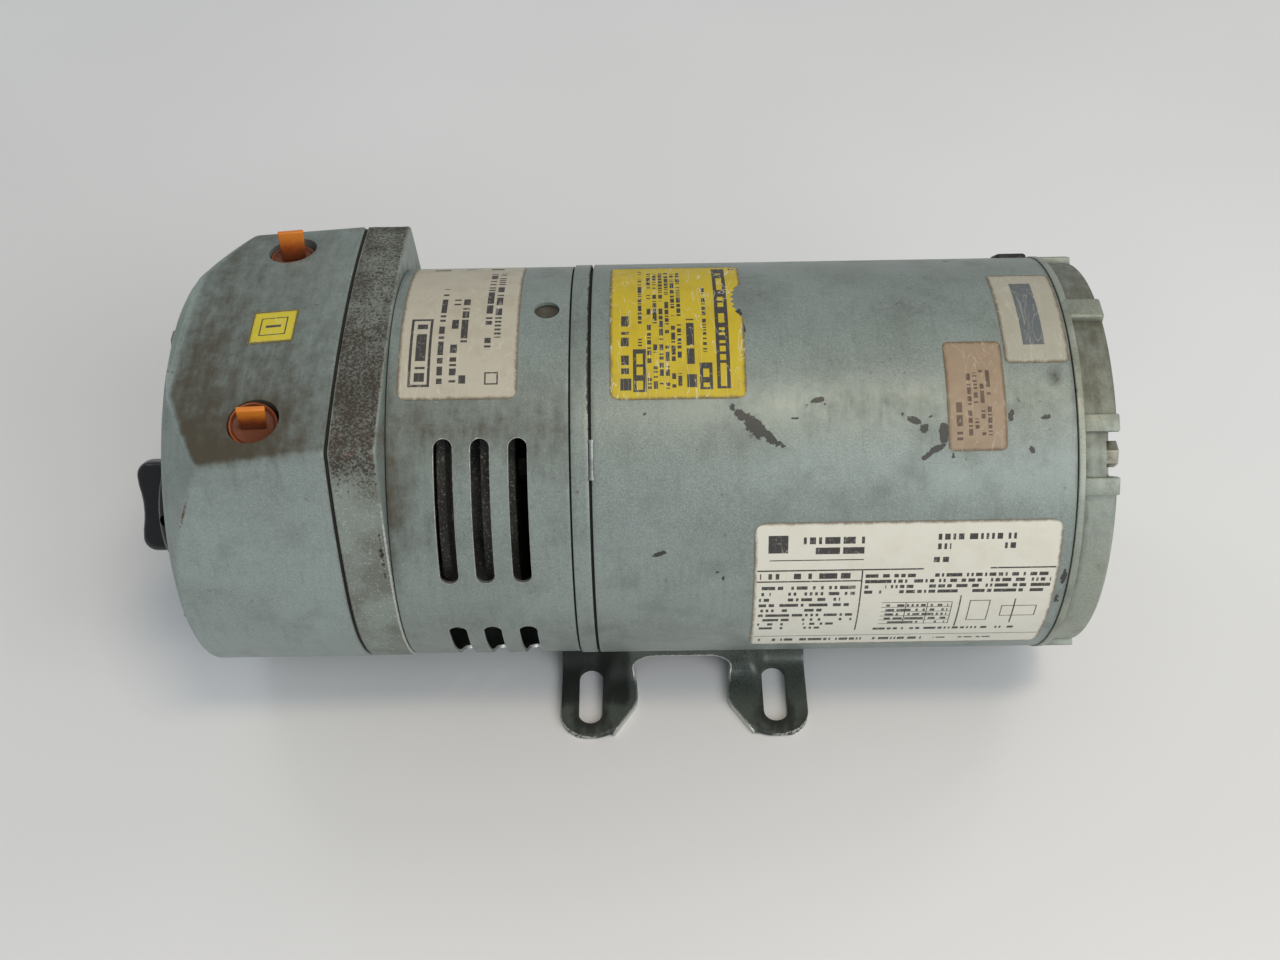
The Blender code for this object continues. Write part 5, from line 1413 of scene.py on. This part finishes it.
ENAMEL = painted("blue_grey_enamel", srgb(133, 144, 140), srgb(120, 130, 125))
COVER_ENAMEL = painted("cover_enamel", srgb(137, 150, 147), srgb(127, 138, 134), dirt_and_shade=0.3)
BELL_ENAMEL = painted("bell_enamel", srgb(146, 153, 143), srgb(130, 134, 116), dirt_and_shade=0.5)
BASE_PAINT = painted("base_enamel", srgb(84, 92, 86), srgb(62, 69, 63), 0.3, 0.5, dirt_and_shade=0.3, soil=BASE_SOIL_AND_SHADOW)
CASTING = cast_paint("rough_casting")
# dark casting and dark steel for the parts and bolts inside the shroud: painted shade
SHADED_INNER_CASTING = cast_paint("inner_casting_painted_shade", srgb(70, 70, 66), srgb(48, 47, 44))
SHADED_BOLT_STEEL = bare_metal("bolt_steel_painted_shade", srgb(50, 50, 50), srgb(34, 33, 32), 0.45)
ZINC = bare_metal("zinc_plate", srgb(158, 156, 142), srgb(122, 118, 104), 0.36)
STEEL = bare_metal("ground_steel", srgb(190, 190, 188), srgb(150, 148, 144), 0.26)
IRON = bare_metal("machined_iron", srgb(140, 140, 140), srgb(100, 98, 94), 0.42)
BRASS = bare_metal("turned_brass", srgb(204, 168, 98), srgb(150, 116, 60), 0.32)
ALUMINIUM = bare_metal("cast_aluminium", srgb(150, 152, 154), srgb(110, 110, 108), 0.5, False)
KNOB_PLASTIC = gloss_plastic("black_phenolic")
ORANGE = cap_plastic("orange_cap")
RUBBER = soft_rubber("black_rubber")
CARBON = soft_rubber("carbon_graphite", srgb(40, 41, 43))
FELT = fibrous("grey_felt", srgb(172, 168, 156), srgb(120, 114, 100), height=0.5)
FIBRE = fibrous("gasket_fibre", srgb(46, 42, 36), srgb(28, 26, 23))
LAMINATION = striped("lamination_stack", srgb(118, 118, 122), srgb(50, 50, 54), 0.64, 0, 0.9, 0.4)
COPPER = striped("wound_copper", srgb(168, 92, 48), srgb(84, 40, 22), 0.9, 1, 0.8, 0.3)

muffler_cover(COVER_ENAMEL)
end_housing(CASTING, ENAMEL)
port_plugs(ORANGE)
knob(KNOB_PLASTIC)
fan_shroud(ENAMEL)
bracket_band(ENAMEL)
motor_shell(ENAMEL)
seam_clip(ALUMINIUM)
lead_grommet(RUBBER)
rear_bell(BELL_ENAMEL)
mounting_base(BASE_PAINT)

pump_label()
motor_label()
nameplate()
lead_note()
blank_tag()
top_sticker()

SLOT_LOOKS = {
    "enamel": ENAMEL,
    "olive": BELL_ENAMEL,
    "base_paint": BASE_PAINT,
    "casting": CASTING,
    "iron": IRON,
    "steel": STEEL,
    "zinc": ZINC,
    "brass": BRASS,
    "aluminium": ALUMINIUM,
    "lamination": LAMINATION,
    "copper": COPPER,
    "carbon": CARBON,
    "black_plastic": KNOB_PLASTIC,
    "orange": ORANGE,
    "rubber": RUBBER,
    "felt": FELT,
    "fibre": FIBRE,
}


# pieces inside the shroud, painted dark as painted shade: they lie in the shroud's shadow and show only
# through its slots
IN_SHROUD_SHADE = {
    "pump_body": SHADED_INNER_CASTING,
    "drive_end_plate": SHADED_INNER_CASTING,
    "cooling_fan": SHADED_INNER_CASTING,
    **{f"pump_bolt_{number}": SHADED_BOLT_STEEL for number in range(1, 5)},
}


def dress_frame():
    """Give each CAD node that still shows its procedural finish and softened edges."""
    for row in frame["record"]["subparts"]:
        node = row["node"]
        obj = frame["nodes"][node]
        if obj.hide_render:
            continue
        obj.data.materials.clear()
        obj.data.materials.append(IN_SHROUD_SHADE.get(node, SLOT_LOOKS[row["material_slot"]]))
        weld = obj.modifiers.new("weld", "WELD")
        weld.merge_threshold = 0.01 * MM
        soften(obj, 0.25)


dress_frame()
